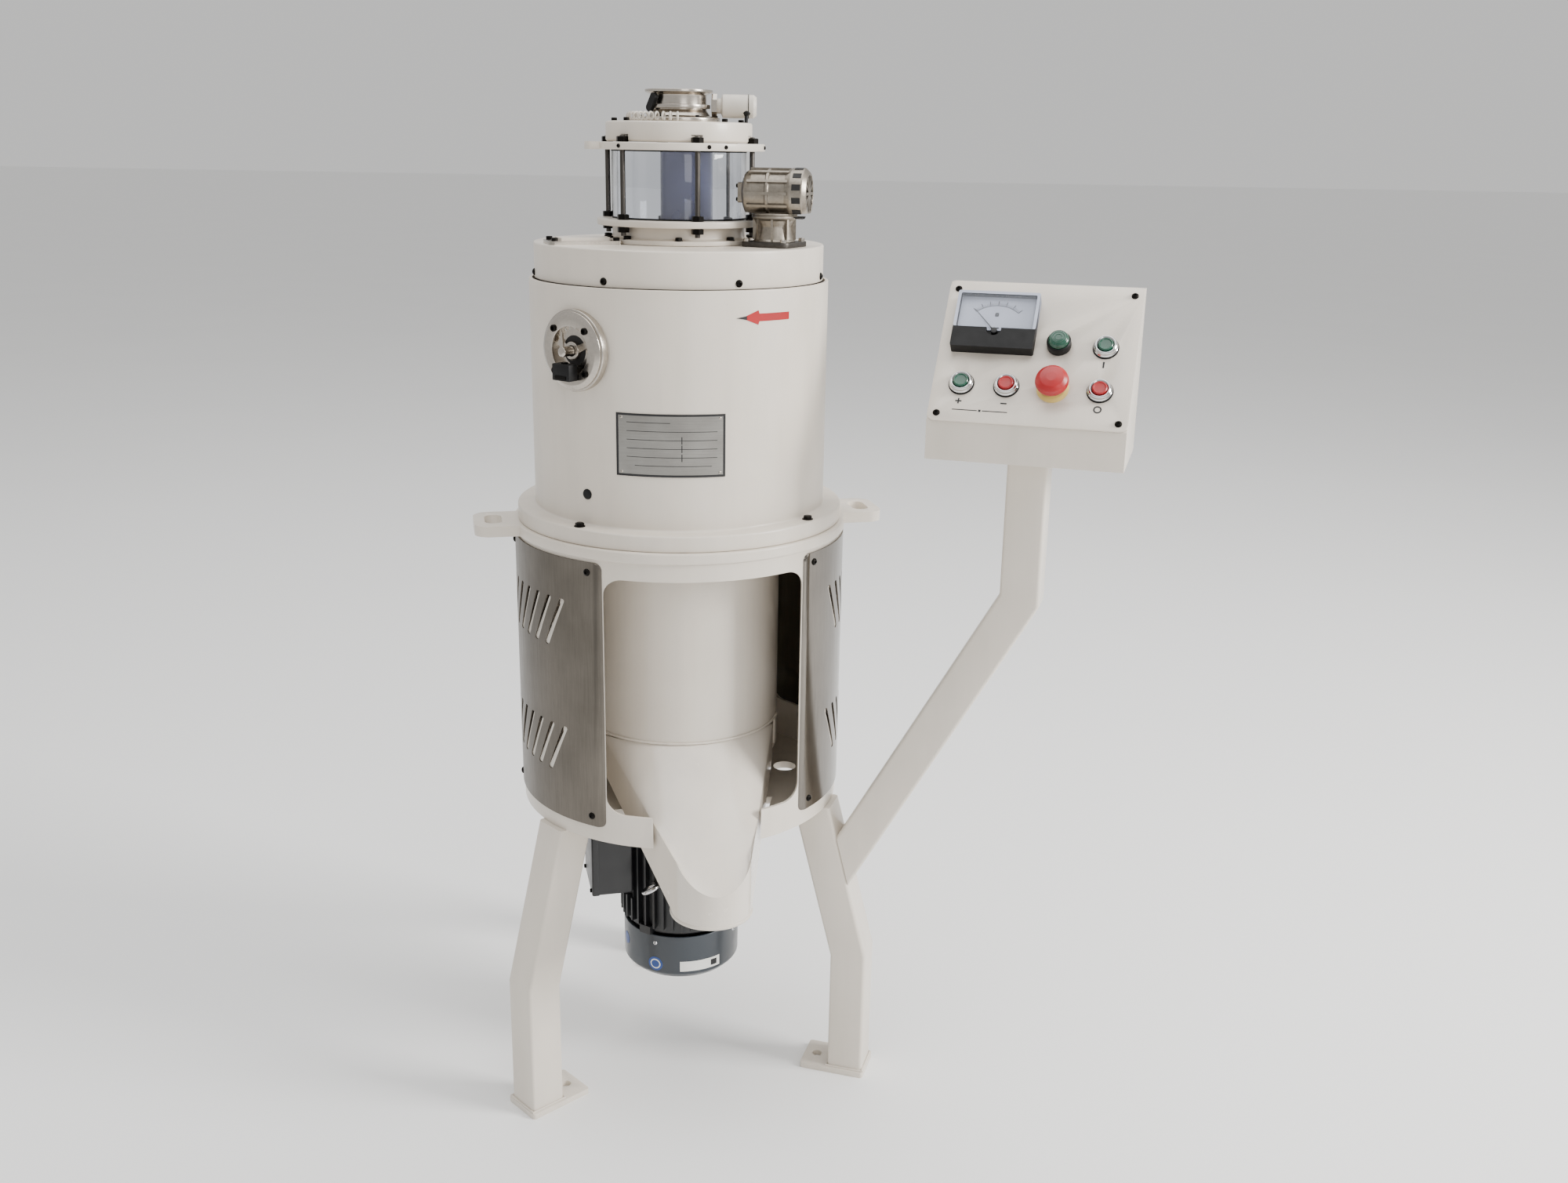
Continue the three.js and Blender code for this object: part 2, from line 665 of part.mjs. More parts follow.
function actuatorGearbox() {
  const low = lidTop + gap;
  const foot = roundedRectangle(gearboxRadius + 8, -gearboxRadius - 8, gearboxRadius + 8, 10);
  const seat = low + gearboxFoot;
  const top = seat + gearboxHeight;
  const body = join(prism(foot, low, seat), turn([[0, seat - 1], [gearboxRadius, seat - 1],
    [gearboxRadius, top - 8], [gearboxRadius + 4, top - 5], [gearboxRadius + 4, top], [0, top]],
  medium));
  const bore = disc(9, low - 1, low + 22, coarse);
  return onCircle(cut(body, bore), pinionDistance, actuatorAzimuth);
}

const actuatorHeadHeight = lidTop + gearboxFoot + gearboxHeight + gap * 2 + actuatorHeadRadius - 4;

function actuatorMotor() {
  const half = actuatorHeadLength / 2;
  const barrel = disc(actuatorHeadRadius, -half + 6, half - 20, medium);
  const hood = turn([[0, half - 21], [actuatorHeadRadius + 3, half - 21],
    [actuatorHeadRadius + 3, half - 6], [actuatorHeadRadius - 6, half], [0, half]], medium);
  const boss = block(-12, 12, -12, 12, -half, -half + 8);
  const seat = block(actuatorHeadRadius - 4, actuatorHeadRadius + 10, -60, 60, -60, 60);
  const head = cut(join(barrel, hood, boss), seat);
  return onCircle(head.rotate([0, 90, 0]).rotate([0, 0, actuatorHeadTurn - actuatorAzimuth])
    .translate([0, 0, actuatorHeadHeight]), pinionDistance, actuatorAzimuth);
}

function indicatorFlange() {
  const start = housingRadius - 5;
  const seat = turn([[indicatorBore - 3, 0], [indicatorRadius, 0], [indicatorRadius, 13],
    [indicatorRadius - 6, 17], [indicatorBore + 8, 17], [indicatorBore + 8, 8],
    [indicatorBore - 3, 8], [indicatorBore - 3, 0]], medium);
  const bridge = join(block(-indicatorBore - 4, indicatorBore + 4, -6, 6, 2, 8), disc(11, 2, 8, coarse));
  const bore = disc(indicatorShaftRadius + runClear, -5, 30, coarse);
  const local = cut(join(seat, bridge), bore).rotate([90, 0, 0]);
  const placed = local.translate([0, -start, indicatorHeight]);
  return cut(around(placed, indicatorAzimuth), disc(housingRadius + gap, millFloor, lidTop, large));
}

function indicatorShaft() {
  const inside = breakerOuter + 2;
  const outside = housingRadius + 26;
  const rod = disc(indicatorShaftRadius, inside, outside, coarse);
  const wheel = disc(indicatorPinionRadius, inside, inside + 7, coarse);
  const pointer = block(-3, 3, -4, 24, outside - 4, outside);
  return around(join(rod, wheel, pointer).rotate([90, 0, 0])
    .translate([0, 0, indicatorHeight]), indicatorAzimuth);
}

function limitSwitch() {
  const near = housingRadius + 12 + gap;
  return around(block(-14, 14, -near - 16, -near, indicatorHeight - 34, indicatorHeight - 14),
    indicatorAzimuth);
}

function glassNeck() {
  const low = lidTop + gap;
  const inner = feedTubeRadius - feedTubeWall;
  return turn([[inner, feedTubeBottom], [feedTubeRadius, feedTubeBottom], [feedTubeRadius, low],
    [capRadius + 4, low], [capRadius + 4, low + 5], [neckRadius, low + 7],
    [neckRadius, neckTop], [inner, neckTop], [inner, feedTubeBottom]]);
}

function lowerGlassFlange() {
  const low = neckTop + gap;
  const top = low + lowerFlangeThickness;
  const stud = turn([[0, low - rodNutHeight - 4], [rodRadius, low - rodNutHeight - 4],
    [rodRadius, low - rodNutHeight], [rodNutRadius, low - rodNutHeight], [rodNutRadius, low + 1],
    [rodRadius, low + 1], [rodRadius, glassTop + upperFlangeThickness + 12],
    [0, glassTop + upperFlangeThickness + 12]], 6);
  const studs = Array.from({ length: rodCount }, (_, i) => onCircle(stud, rodCircle, rodStart + 60 * i));
  return join(tube(feedTubeRadius - feedTubeWall, lowerFlangeRadius, low, top), ...studs);
}

function sightGlass() {
  return tube(glassRadius - glassWall, glassRadius, glassBottom + gap, glassTop);
}

function upperGlassFlange() {
  const low = glassTop + gap;
  const high = low + upperFlangeThickness;
  const ear = around(prism(roundedRectangle(11, -upperFlangeRadius - 13, -upperFlangeRadius / 1.3, 5),
    low, high), earAzimuth);
  const holes = Array.from({ length: rodCount }, (_, i) => onCircle(
    disc(rodRadius + gap * 2, low - 1, high + 1, 8), rodCircle, rodStart + 60 * i));
  return cut(join(disc(upperFlangeRadius, low, high), ear), disc(glassRadius - glassWall, low - 1,
    high + 1), ...holes);
}

function headCap() {
  const low = glassTop + upperFlangeThickness + gap * 2;
  const top = low + capHeight;
  const notches = Array.from({ length: rodCount }, (_, i) => onCircle(
    disc(rodNutRadius + 2, low - 1, top + 1, 8), rodCircle, rodStart + 60 * i));
  return cut(turn([[inletRadius, low], [capRadius - 2, low], [capRadius, low + 2],
    [capRadius, top - 3], [capRadius - 3, top], [inletRadius, top], [inletRadius, low]]), ...notches);
}

function inletStub() {
  const bore = inletRadius - inletWall;
  const low = capTop + gap;
  return turn([[bore, low], [ferruleRadius + 9, low], [ferruleRadius + 9, low + 5],
    [inletRadius + 5, low + 7], [inletRadius, low + 14], [inletRadius, ferruleTop - 6],
    [ferruleRadius, ferruleTop - 3], [ferruleRadius, ferruleTop], [bore, ferruleTop], [bore, low]]);
}

function levelSensor() {
  const axisHeight = capTop + 20;
  const body = turn([[0, inletRadius + 6], [9, inletRadius + 6], [9, inletRadius + 18],
    [14, inletRadius + 20], [14, inletRadius + 58], [11, inletRadius + 62],
    [0, inletRadius + 62]], coarse);
  return around(body.rotate([90, 0, 0]).translate([0, 0, axisHeight]), sensorAzimuth);
}

function bearingHousing() {
  const top = millFloor - millFloorThickness - gap;
  const [bore, outer] = [bearingOuter, bearingHousingRadius];
  return turn([[bore - 6, bearingHousingBottom], [outer, bearingHousingBottom], [outer, top - 8],
    [outer + 32, top - 8], [outer + 32, top], [bore, top], [bore, top - bearingHeight - 2],
    [bore - 6, top - bearingHeight - 2], [bore - 6, bearingHousingBottom + bearingHeight + 12],
    [bore, bearingHousingBottom + bearingHeight + 12], [bore, bearingHousingBottom + 10],
    [bore - 6, bearingHousingBottom + 10], [bore - 6, bearingHousingBottom]]);
}

function bearing(low) {
  return tube(spindleRadius + runClear, bearingOuter - gap, low, low + bearingHeight);
}

function spindle() {
  const low = shellBottom + 70;
  const hub = rotorBottom;
  const top = rotorBottom + discThickness + 26;
  return turn([[0, low], [spindleRadius - 3, low], [spindleRadius - 3, low + 52],
    [spindleRadius, low + 56], [spindleRadius, hub], [spindleRadius - 2, hub], [spindleRadius - 2, top],
    [0, top]], coarse);
}

function rotorCage() {
  const bore = spindleRadius - 2 + gap;
  const lower = turn([[bore, rotorBottom + gap], [rotorRadius, rotorBottom + gap],
    [rotorRadius, rotorBottom + discThickness], [hubRadius, rotorBottom + discThickness],
    [hubRadius, rotorBottom + discThickness + 24], [bore, rotorBottom + discThickness + 24],
    [bore, rotorBottom + gap]]);
  const upper = tube(rotorEye, rotorRadius, rotorTop - discThickness, rotorTop);
  const pins = Array.from({ length: hammerSets }, (_, i) => onCircle(
    disc(pinRadius, rotorBottom + 2, rotorTop - 1, 12), pinCircle, 360 * i / hammerSets));
  return join(lower, upper, ...pins);
}

function hammerSet(index) {
  const low = rotorBottom + discThickness + 3;
  const high = rotorTop - discThickness - 3;
  const parts = [disc(pinRadius + 5, low, high, 12)];
  for (let i = 0; i < hammersPerSet; i += 1) {
    const middle = low + (high - low) * (i + 0.5) / hammersPerSet;
    const plate = block(-hammerWidth / 2, hammerWidth / 2, -hammerLength, hammerTail,
      middle - hammerThickness / 2, middle + hammerThickness / 2);
    parts.push(plate);
  }
  const bore = disc(pinRadius + runClear, low - 1, high + 1, 12);
  return onCircle(cut(join(...parts), bore), pinCircle, 360 * index / hammerSets);
}

function distributorCone() {
  const low = rotorBottom + discThickness + 26 + gap;
  return turn([[0, low], [40, low], [40, low + 4], [8, low + 40], [0, low + 42]], medium);
}

const motorFlangeLow = shellBottom - gap - motorFlangeThickness;

function shaftCoupling() {
  const low = shellBottom + 26;
  const [upperStart, top] = [low + 50, low + 92];
  return turn([[shaftRadius + gap, low], [30, low], [30, low + 32], [25, low + 34], [25, low + 42],
    [30, low + 44], [30, top], [spindleRadius - 3 + gap, top], [spindleRadius - 3 + gap, upperStart - 7],
    [shaftRadius + gap, upperStart - 7], [shaftRadius + gap, low]], coarse);
}

function motorBody() {
  const outline = [];
  for (let i = 0; i < finCount; i += 1) {
    for (const [radius, share] of [[motorRadius, -0.42], [finReach, -0.1], [finReach, 0.1],
      [motorRadius, 0.42]]) {
      const angle = 2 * Math.PI * (i + share) / finCount;
      outline.push([radius * Math.cos(angle), radius * Math.sin(angle)]);
    }
  }
  const fins = prism(outline, motorBottom + 10, motorFlangeLow - 8);
  const barrel = disc(motorRadius + 3, motorBottom, motorFlangeLow + 1);
  const flange = disc(motorFlangeRadius, motorFlangeLow, shellBottom - gap);
  const spigot = disc(motorSpigotRadius, shellBottom - gap - 1, shellBottom + 4);
  const cavity = disc(rotorCoreRadius + 3, motorBottom + 30, motorFlangeLow - 14, coarse);
  const eye = onCircle(join(disc(8, 0, 14, 12), tube(9, 14, -4, 4, 16).rotate([90, 0, 30])
    .translate([0, 0, 24])).rotate([90, 0, 0]), motorRadius + 2, liftingEyeAzimuth)
    .translate([0, 0, liftingEyeHeight]);
  const boxTop = terminalBoxBottom + terminalBoxHeight;
  const box = block(-finReach - 46, -motorRadius - gap, -48, 42, terminalBoxBottom, boxTop);
  return { body: cut(join(fins, barrel, flange, spigot, eye), cavity,
    disc(shaftRadius + 1.2, motorBottom - 1, shellBottom + 10, coarse),
    block(-finReach - 60, -motorRadius, -60, 60, terminalBoxBottom - 12, boxTop + 12)), box };
}

function motorShaft() {
  return turn([[0, fanCoverBottom + 16], [shaftRadius, fanCoverBottom + 16],
    [shaftRadius, motorBottom + 34], [rotorCoreRadius, motorBottom + 34],
    [rotorCoreRadius, motorFlangeLow - 18], [shaftRadius, motorFlangeLow - 18],
    [shaftRadius, shellBottom + 68], [0, shellBottom + 68]], coarse);
}

function motorFan() {
  const low = fanCoverBottom + 22;
  const blades = Array.from({ length: 6 }, (_, i) => around(
    block(-1.5, 1.5, -66, -16, low, low + 28), 60 * i));
  return cut(join(disc(22, low, low + 28, coarse), tube(16, 60, low, low + 3, coarse), ...blades),
    disc(shaftRadius + gap, low - 1, low + 40, coarse));
}

function fanCover() {
  const inner = fanCoverRadius - 2;
  const cup = turn([[0, fanCoverBottom], [fanCoverRadius - 8, fanCoverBottom],
    [fanCoverRadius, fanCoverBottom + 9], [fanCoverRadius, motorBottom - gap],
    [inner, motorBottom - gap], [inner, fanCoverBottom + 9], [inner - 7, fanCoverBottom + 2],
    [0, fanCoverBottom + 2]]);
  const slots = Array.from({ length: 12 }, (_, i) => around(
    block(-4, 4, -60, -24, fanCoverBottom - 2, fanCoverBottom + 6), 30 * i));
  return cut(cup, ...slots);
}

// ---- console: its own frame has +X to the operator's right, the operator at -Y, z = 0 at its base
const slopeRise = consoleSlope * Math.cos(radians(consoleTilt));
const slopeRun = consoleSlope * Math.sin(radians(consoleTilt));
const consoleFront = -consoleDepth / 2;

function consoleProfile(inset) {
  return [[consoleFront + inset, inset], [consoleDepth / 2 - inset, inset],
    [consoleDepth / 2 - inset, consoleLip + slopeRise - inset],
    [consoleFront + slopeRun + inset / 2, consoleLip + slopeRise - inset],
    [consoleFront + inset, consoleLip + inset / 4]];
}

function alongX(points, half) {
  return prism(points, -half, half).rotate([90, 0, 0]).rotate([0, 0, 90]);
}

function consoleBox() {
  const half = consoleWidth / 2;
  const outer = alongX(consoleProfile(0), half);
  const inner = alongX(consoleProfile(consoleSheet), half - consoleSheet);
  const mouth = onCover(block(-half + 12, half - 12, -consoleSlope / 2 + 12, consoleSlope / 2 - 12,
    -8, 8));
  const gland = disc(9, -5, 10, coarse).translate([0, 8, 0]);
  return cut(outer, inner, mouth, gland);
}

// Moves a body drawn flat (x across, y up the slope, z outwards) on to the sloping cover.
function onCover(body) {
  return body.rotate([90 - consoleTilt, 0, 0])
    .translate([0, consoleFront + slopeRun / 2, consoleLip + slopeRise / 2]);
}

function consoleCover() {
  const half = consoleWidth / 2;
  const plate = prism(roundedRectangle(half, -consoleSlope / 2, consoleSlope / 2, 9), gap,
    gap + consoleSheet);
  const spots = [[columns.plus, lowerRow], [columns.minus, lowerRow], [columns.stop, lowerRow],
    [columns.start, lowerRow], [columns.stop, upperRow], [columns.start, upperRow]];
  const holes = spots.map(([x, y]) => disc(buttonHoleRadius + gap, -3, 8, coarse).translate([x, y, 0]));
  const { across, up } = meterCentre;
  const meterHole = disc(32, -3, 8, medium).translate([across, up, 0]);
  return cut(plate, ...holes, meterHole);
}

const coverFace = consoleSheet + gap;

function bezel(x, y) {
  const low = coverFace + gap;
  return turn([[capButtonRadius + runClear, -26], [buttonHoleRadius, -26], [buttonHoleRadius, low],
    [bezelRadius, low], [bezelRadius, low + bezelHeight - 3], [bezelRadius - 2, low + bezelHeight],
    [capButtonRadius + runClear, low + bezelHeight], [capButtonRadius + runClear, -26]], coarse)
    .translate([x, y, 0]);
}

function buttonCap(x, y) {
  const top = coverFace + gap + bezelHeight + capProud;
  return turn([[0, -20], [capButtonRadius, -20], [capButtonRadius, top - 1.5],
    [capButtonRadius - 1.5, top], [0, top]], coarse).translate([x, y, 0]);
}

function pilotLamp(x, y) {
  const low = coverFace + gap;
  return turn([[0, -26], [buttonHoleRadius, -26], [buttonHoleRadius, low], [bezelRadius, low],
    [bezelRadius, low + 12], [10, low + 18], [0, low + 19]], coarse).translate([x, y, 0]);
}

const mushroomBase = coverFace + 12;

function stopStem(x, y) {
  return turn([[0, -30], [buttonHoleRadius - runClear, -30], [buttonHoleRadius - runClear, mushroomBase],
    [0, mushroomBase]], coarse).translate([x, y, 0]);
}

function stopHead(x, y) {
  const low = mushroomBase + gap;
  return turn([[0, low], [mushroomRadius - 4, low], [mushroomRadius, low + 4],
    [mushroomRadius, low + 9], [mushroomRadius - 4, low + 14], [0, low + 17]], medium)
    .translate([x, y, 0]);
}

const needleFace = coverFace + gap + meterDepth - 5;

function meterHousing() {
  const low = coverFace + gap;
  const [halfWidth, halfHeight] = [meterWidth / 2, meterHeight / 2];
  const shell = block(-halfWidth, halfWidth, -halfHeight, halfHeight, low, low + meterDepth);
  const barrel = disc(31, -36, low + 1, medium);
  const dialWell = block(-halfWidth + 4, halfWidth - 4, -needleDrop + 2, halfHeight - 4,
    needleFace - 3, low + meterDepth + 1);
  const pivotWell = disc(9, needleFace - 3, low + meterDepth + 1, coarse)
    .translate([0, -needleDrop, 0]);
  return cut(join(shell, barrel), dialWell, pivotWell)
    .translate([meterCentre.across, meterCentre.up, 0]);
}

function meterNeedle() {
  const blade = block(-0.8, 0.8, -4, 44, needleFace, needleFace + 1.2);
  const hub = disc(4, needleFace - 2, needleFace + 3, 12);
  return join(blade, hub).rotate([0, 0, needleRest])
    .translate([meterCentre.across, meterCentre.up - needleDrop, 0]);
}

// ---- assembly
const mill = new THREE.Group();

piece(mill, 'base_shell', baseShell(), paint);
piece(mill, 'side_cover_right', sideCover(1), brushed);
piece(mill, 'side_cover_left', sideCover(-1), brushed);
piece(mill, 'lifting_flange', liftingFlange(), paint);
piece(mill, 'collecting_drum', collectingDrum(), paint);
piece(mill, 'discharge_chute', dischargeChute(), paint);
piece(mill, 'upper_housing', upperHousing(), paint);
piece(mill, 'rotor_floor', rotorFloor(), castIron);
piece(mill, 'screen', screen(), stainless);
piece(mill, 'housing_lid', housingLid(), paint);
piece(mill, 'adjusting_ring_gear', adjustingRingGear(), castIron);
piece(mill, 'adjusting_pinion', adjustingPinion(), castIron);
piece(mill, 'breaker_ring', breakerRing(), castIron);
piece(mill, 'actuator_gearbox', actuatorGearbox(), castAluminium);
piece(mill, 'actuator_motor', actuatorMotor(), castAluminium);
piece(mill, 'indicator_flange', indicatorFlange(), stainless);
piece(mill, 'indicator_shaft', indicatorShaft(), stainless);
piece(mill, 'limit_switch', limitSwitch(), blackPlastic);
piece(mill, 'glass_neck', glassNeck(), paint);
piece(mill, 'lower_glass_flange', lowerGlassFlange(), stainless);
piece(mill, 'sight_glass', sightGlass(), clearGlass);
piece(mill, 'upper_glass_flange', upperGlassFlange(), stainless);
piece(mill, 'head_cap', headCap(), paint);
piece(mill, 'inlet_stub', inletStub(), stainless);
piece(mill, 'level_sensor', levelSensor(), palePlastic);
piece(mill, 'bearing_housing', bearingHousing(), castIron);
piece(mill, 'bearing_lower', bearing(bearingHousingBottom + 11), stainless);
piece(mill, 'bearing_upper', bearing(millFloor - millFloorThickness - gap - bearingHeight - 1), stainless);
piece(mill, 'spindle', spindle(), stainless);
piece(mill, 'rotor_cage', rotorCage(), castIron);
for (let i = 0; i < hammerSets; i += 1) piece(mill, `hammer_set_${i + 1}`, hammerSet(i), stainless);
piece(mill, 'distributor_cone', distributorCone(), stainless);
piece(mill, 'shaft_coupling', shaftCoupling(), castIron);
const motor = motorBody();
piece(mill, 'motor_body', motor.body, blackPaint);
piece(mill, 'terminal_box', motor.box, blackPaint);
piece(mill, 'motor_shaft', motorShaft(), stainless);
piece(mill, 'motor_fan', motorFan(), blackPlastic);
piece(mill, 'fan_cover', fanCover(), bluePaint);

for (const [name, azimuth] of Object.entries(legAzimuths)) {
  const stand = new THREE.Group();
  stand.rotation.z = radians(azimuth);
  piece(stand, name, leg(), paint);
  mill.add(stand);
}

const armGroup = new THREE.Group();
armGroup.rotation.z = radians(armAzimuth);
piece(armGroup, 'console_arm', consoleArm(), paint);
mill.add(armGroup);

const desk = new THREE.Group();
desk.position.set(...unit(armAzimuth).map((part) => part * armReach), armTop);
desk.rotation.z = radians(armAzimuth - 90);
piece(desk, 'console_box', consoleBox(), paint);
mill.add(desk);

const cover = new THREE.Group();
cover.position.set(0, consoleFront + slopeRun / 2, consoleLip + slopeRise / 2);
cover.rotation.x = Math.PI / 2 - radians(consoleTilt);
piece(cover, 'console_cover', consoleCover(), paint);
const controls = {
  start: [columns.start, upperRow, greenPlastic],
  stop: [columns.start, lowerRow, redPlastic],
  plus: [columns.plus, lowerRow, greenPlastic],
  minus: [columns.minus, lowerRow, redPlastic],
};
for (const [name, [x, y, look]] of Object.entries(controls)) {
  piece(cover, `${name}_bezel`, bezel(x, y), chrome);
  piece(cover, `${name}_button`, buttonCap(x, y), look);
}
piece(cover, 'pilot_lamp', pilotLamp(columns.stop, upperRow), greenPlastic);
piece(cover, 'emergency_stem', stopStem(columns.stop, lowerRow), blackPlastic);
piece(cover, 'emergency_head', stopHead(columns.stop, lowerRow), redPlastic);
piece(cover, 'meter_housing', meterHousing(), blackPlastic);
piece(cover, 'meter_needle', meterNeedle(), redPlastic);
desk.add(cover);

// The origin is at the centre of the footprint, on the floor.
mill.updateMatrixWorld(true);
const extent = new THREE.Box3().setFromObject(mill, true);
const middle = extent.getCenter(new THREE.Vector3());
mill.position.set(-middle.x, -middle.y, -extent.min.z);

const part = new THREE.Group();
part.add(mill);
export default part;
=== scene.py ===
"""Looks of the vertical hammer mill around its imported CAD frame. Lengths are in millimetres in the mill's own
frame, whose Z axis is the rotor's. An azimuth is measured in degrees from the front (-Y) towards +X."""
import math

import bmesh
import bpy
from mathutils import Matrix, Vector


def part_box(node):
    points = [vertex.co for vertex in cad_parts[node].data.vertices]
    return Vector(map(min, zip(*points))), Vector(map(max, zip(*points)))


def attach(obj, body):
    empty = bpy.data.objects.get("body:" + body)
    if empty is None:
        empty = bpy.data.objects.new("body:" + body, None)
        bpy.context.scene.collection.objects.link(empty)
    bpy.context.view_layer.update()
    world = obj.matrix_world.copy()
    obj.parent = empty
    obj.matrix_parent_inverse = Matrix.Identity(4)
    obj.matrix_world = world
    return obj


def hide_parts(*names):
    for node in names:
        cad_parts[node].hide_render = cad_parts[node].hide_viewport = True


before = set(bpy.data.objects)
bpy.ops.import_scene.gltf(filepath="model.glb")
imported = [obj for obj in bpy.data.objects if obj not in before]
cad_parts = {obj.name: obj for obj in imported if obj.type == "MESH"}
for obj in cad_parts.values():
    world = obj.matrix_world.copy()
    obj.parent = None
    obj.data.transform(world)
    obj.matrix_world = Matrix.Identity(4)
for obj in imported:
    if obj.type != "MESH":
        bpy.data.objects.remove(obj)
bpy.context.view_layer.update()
scene = bpy.context.scene

low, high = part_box("upper_housing")
AXIS = Vector(((low.x + high.x) / 2, (low.y + high.y) / 2, 0))
TO_ROW = Matrix.Translation(AXIS) @ Matrix.Scale(0.001, 4)


def level(node):
    """Lowest and highest point of a CAD node, in millimetres."""
    lowest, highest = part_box(node)
    return lowest.z * 1000, highest.z * 1000


CIRCLE = 144                        # sides of a large round body


# ---------------------------------------------------------------- places
def shift(x, y, z=0):
    return Matrix.Translation((x, y, z))


def spin(degrees, axis):
    return Matrix.Rotation(math.radians(degrees), 4, axis)


def turned(azimuth):
    return spin(azimuth, "Z")


def on_wall(azimuth, radius, z):
    """Local x runs to the right on the wall, y up, and z outwards."""
    return turned(azimuth) @ shift(0, -radius, z) @ spin(90, "X")


def on_top(azimuth, radius, z):
    return turned(azimuth) @ shift(0, -radius, z)


# ---------------------------------------------------------------- camera
camera = bpy.data.objects.new("camera", bpy.data.cameras.new("camera"))
scene.collection.objects.link(camera)
scene.camera = camera
camera.data.sensor_width = 36
camera.data.lens = 34.39
camera.data.shift_x = 0.0025
camera.data.shift_y = 0.00225
camera.data.clip_end = 60
camera.matrix_world = (Matrix.Translation(AXIS + Vector((-0.3233, -1.9265, 1.265)))
                       @ spin(-13.5, "Z") @ spin(73.33, "X") @ Matrix.Rotation(0.017, 4, "Z"))


# ---------------------------------------------------------------- meshes
def fillet(points, closed=True, steps=4):
    """Rounds the corners of a line: a point may carry a radius as its third number."""
    out, count = [], len(points)
    for i, p in enumerate(points):
        radius = p[2] if len(p) > 2 else 0
        if not radius or (not closed and i in (0, count - 1)):
            out.append((p[0], p[1]))
            continue
        corner = Vector(p[:2])
        back = Vector(points[i - 1][:2]) - corner
        ahead = Vector(points[(i + 1) % count][:2]) - corner
        half = back.angle(ahead) / 2
        if half > 1.56:
            out.append((p[0], p[1]))
            continue
        reach = min(radius / math.tan(half), back.length * 0.49, ahead.length * 0.49)
        radius = reach * math.tan(half)
        centre = corner + (back.normalized() + ahead.normalized()).normalized() * radius / math.sin(half)
        a = corner + back.normalized() * reach - centre
        b = corner + ahead.normalized() * reach - centre
        start = math.atan2(a.y, a.x)
        turn = math.atan2(b.y, b.x) - start
        turn = (turn + math.pi) % (2 * math.pi) - math.pi
        out += [(centre.x + radius * math.cos(start + turn * k / steps),
                 centre.y + radius * math.sin(start + turn * k / steps)) for k in range(steps + 1)]
    return out


def lathe(profile, sides=96, steps=4, hexed=()):
    """A turned body. A profile that starts and ends on the axis is closed there.
    Points in hexed are hexagonal."""
    if steps:
        profile = fillet(profile, closed=not (profile[0][0] == 0 and profile[-1][0] == 0), steps=steps)
    vertices, rings = [], []
    for index, (r, z) in enumerate(p[:2] for p in profile):
        if abs(r) < 1e-6:
            rings.append([len(vertices)])
            vertices.append((0, 0, z))
            continue
        rings.append(list(range(len(vertices), len(vertices) + sides)))
        for k in range(sides):
            angle = 2 * math.pi * k / sides
            reach = r
            if index in hexed:
                reach = r / math.cos((angle + math.pi / 6) % (math.pi / 3) - math.pi / 6)
            vertices.append((reach * math.cos(angle), reach * math.sin(angle), z))
    faces = []
    for a, b in zip(rings, rings[1:] + rings[:1]):
        if len(a) == 1 and len(b) == 1:
            continue
        for k in range(sides):
            n = (k + 1) % sides
            quad = [a[k % len(a)], a[n % len(a)], b[n % len(b)], b[k % len(b)]]
            faces.append(list(dict.fromkeys(quad)))
    return vertices, faces


def prism(outline, bottom, top):
    n = len(outline)
    vertices = [(x, y, bottom) for x, y in outline] + [(x, y, top) for x, y in outline]
    faces = [list(range(n))[::-1], list(range(n, 2 * n))]
    faces += [[i, (i + 1) % n, n + (i + 1) % n, n + i] for i in range(n)]
    return vertices, faces


def block(x0, x1, y0, y1, z0, z1):
    return prism([(x0, y0), (x1, y0), (x1, y1), (x0, y1)], z0, z1)


def rounded(half_width, bottom, top, corner, steps=6, squeeze=1.0):
    """A rectangle with round corners; squeeze narrows the corners sideways."""
    points = []
    low_y, high_y = bottom + corner, top - corner
    for sx, y, a in ((1, low_y, -90), (1, high_y, 0), (-1, high_y, 90), (-1, low_y, 180)):
        for k in range(steps + 1):
            angle = math.radians(a + 90 * k / steps)
            points.append((sx * (half_width - corner * squeeze) + corner * squeeze * math.cos(angle),
                           y + corner * math.sin(angle)))
    return points


def moved(shape, matrix):
    return [tuple(matrix @ Vector(v)) for v in shape[0]], shape[1]


def merged(*shapes):
    vertices, faces = [], []
    for v, f in shapes:
        start = len(vertices)
        vertices += v
        faces += [[start + i for i in face] for face in f]
    return vertices, faces


def sweep(section, path, normals):
    """A bar along a line in the X-Z plane, cut at each point of the line by the plane with that normal."""
    vertices, n = [], len(section)
    for i, point in enumerate(path):
        a, b = (path[i], path[i + 1]) if i + 1 < len(path) else (path[i - 1], path[i])
        along = (Vector((b[0], 0, b[1])) - Vector((a[0], 0, a[1]))).normalized()
        across = Vector((along.z, 0, -along.x))
        normal = Vector((normals[i][0], 0, normals[i][1]))
        for u, v in section:
            offset = Vector((0, 1, 0)) * u + across * v
            offset -= along * (offset.dot(normal) / along.dot(normal))
            vertices.append(tuple(Vector((point[0], 0, point[1])) + offset))
    faces = [list(range(n)), list(range(len(vertices) - n, len(vertices)))]
    for i in range(len(path) - 1):
        row, ahead = i * n, (i + 1) * n
        faces += [[row + k, row + (k + 1) % n, ahead + (k + 1) % n, ahead + k] for k in range(n)]
    return vertices, faces


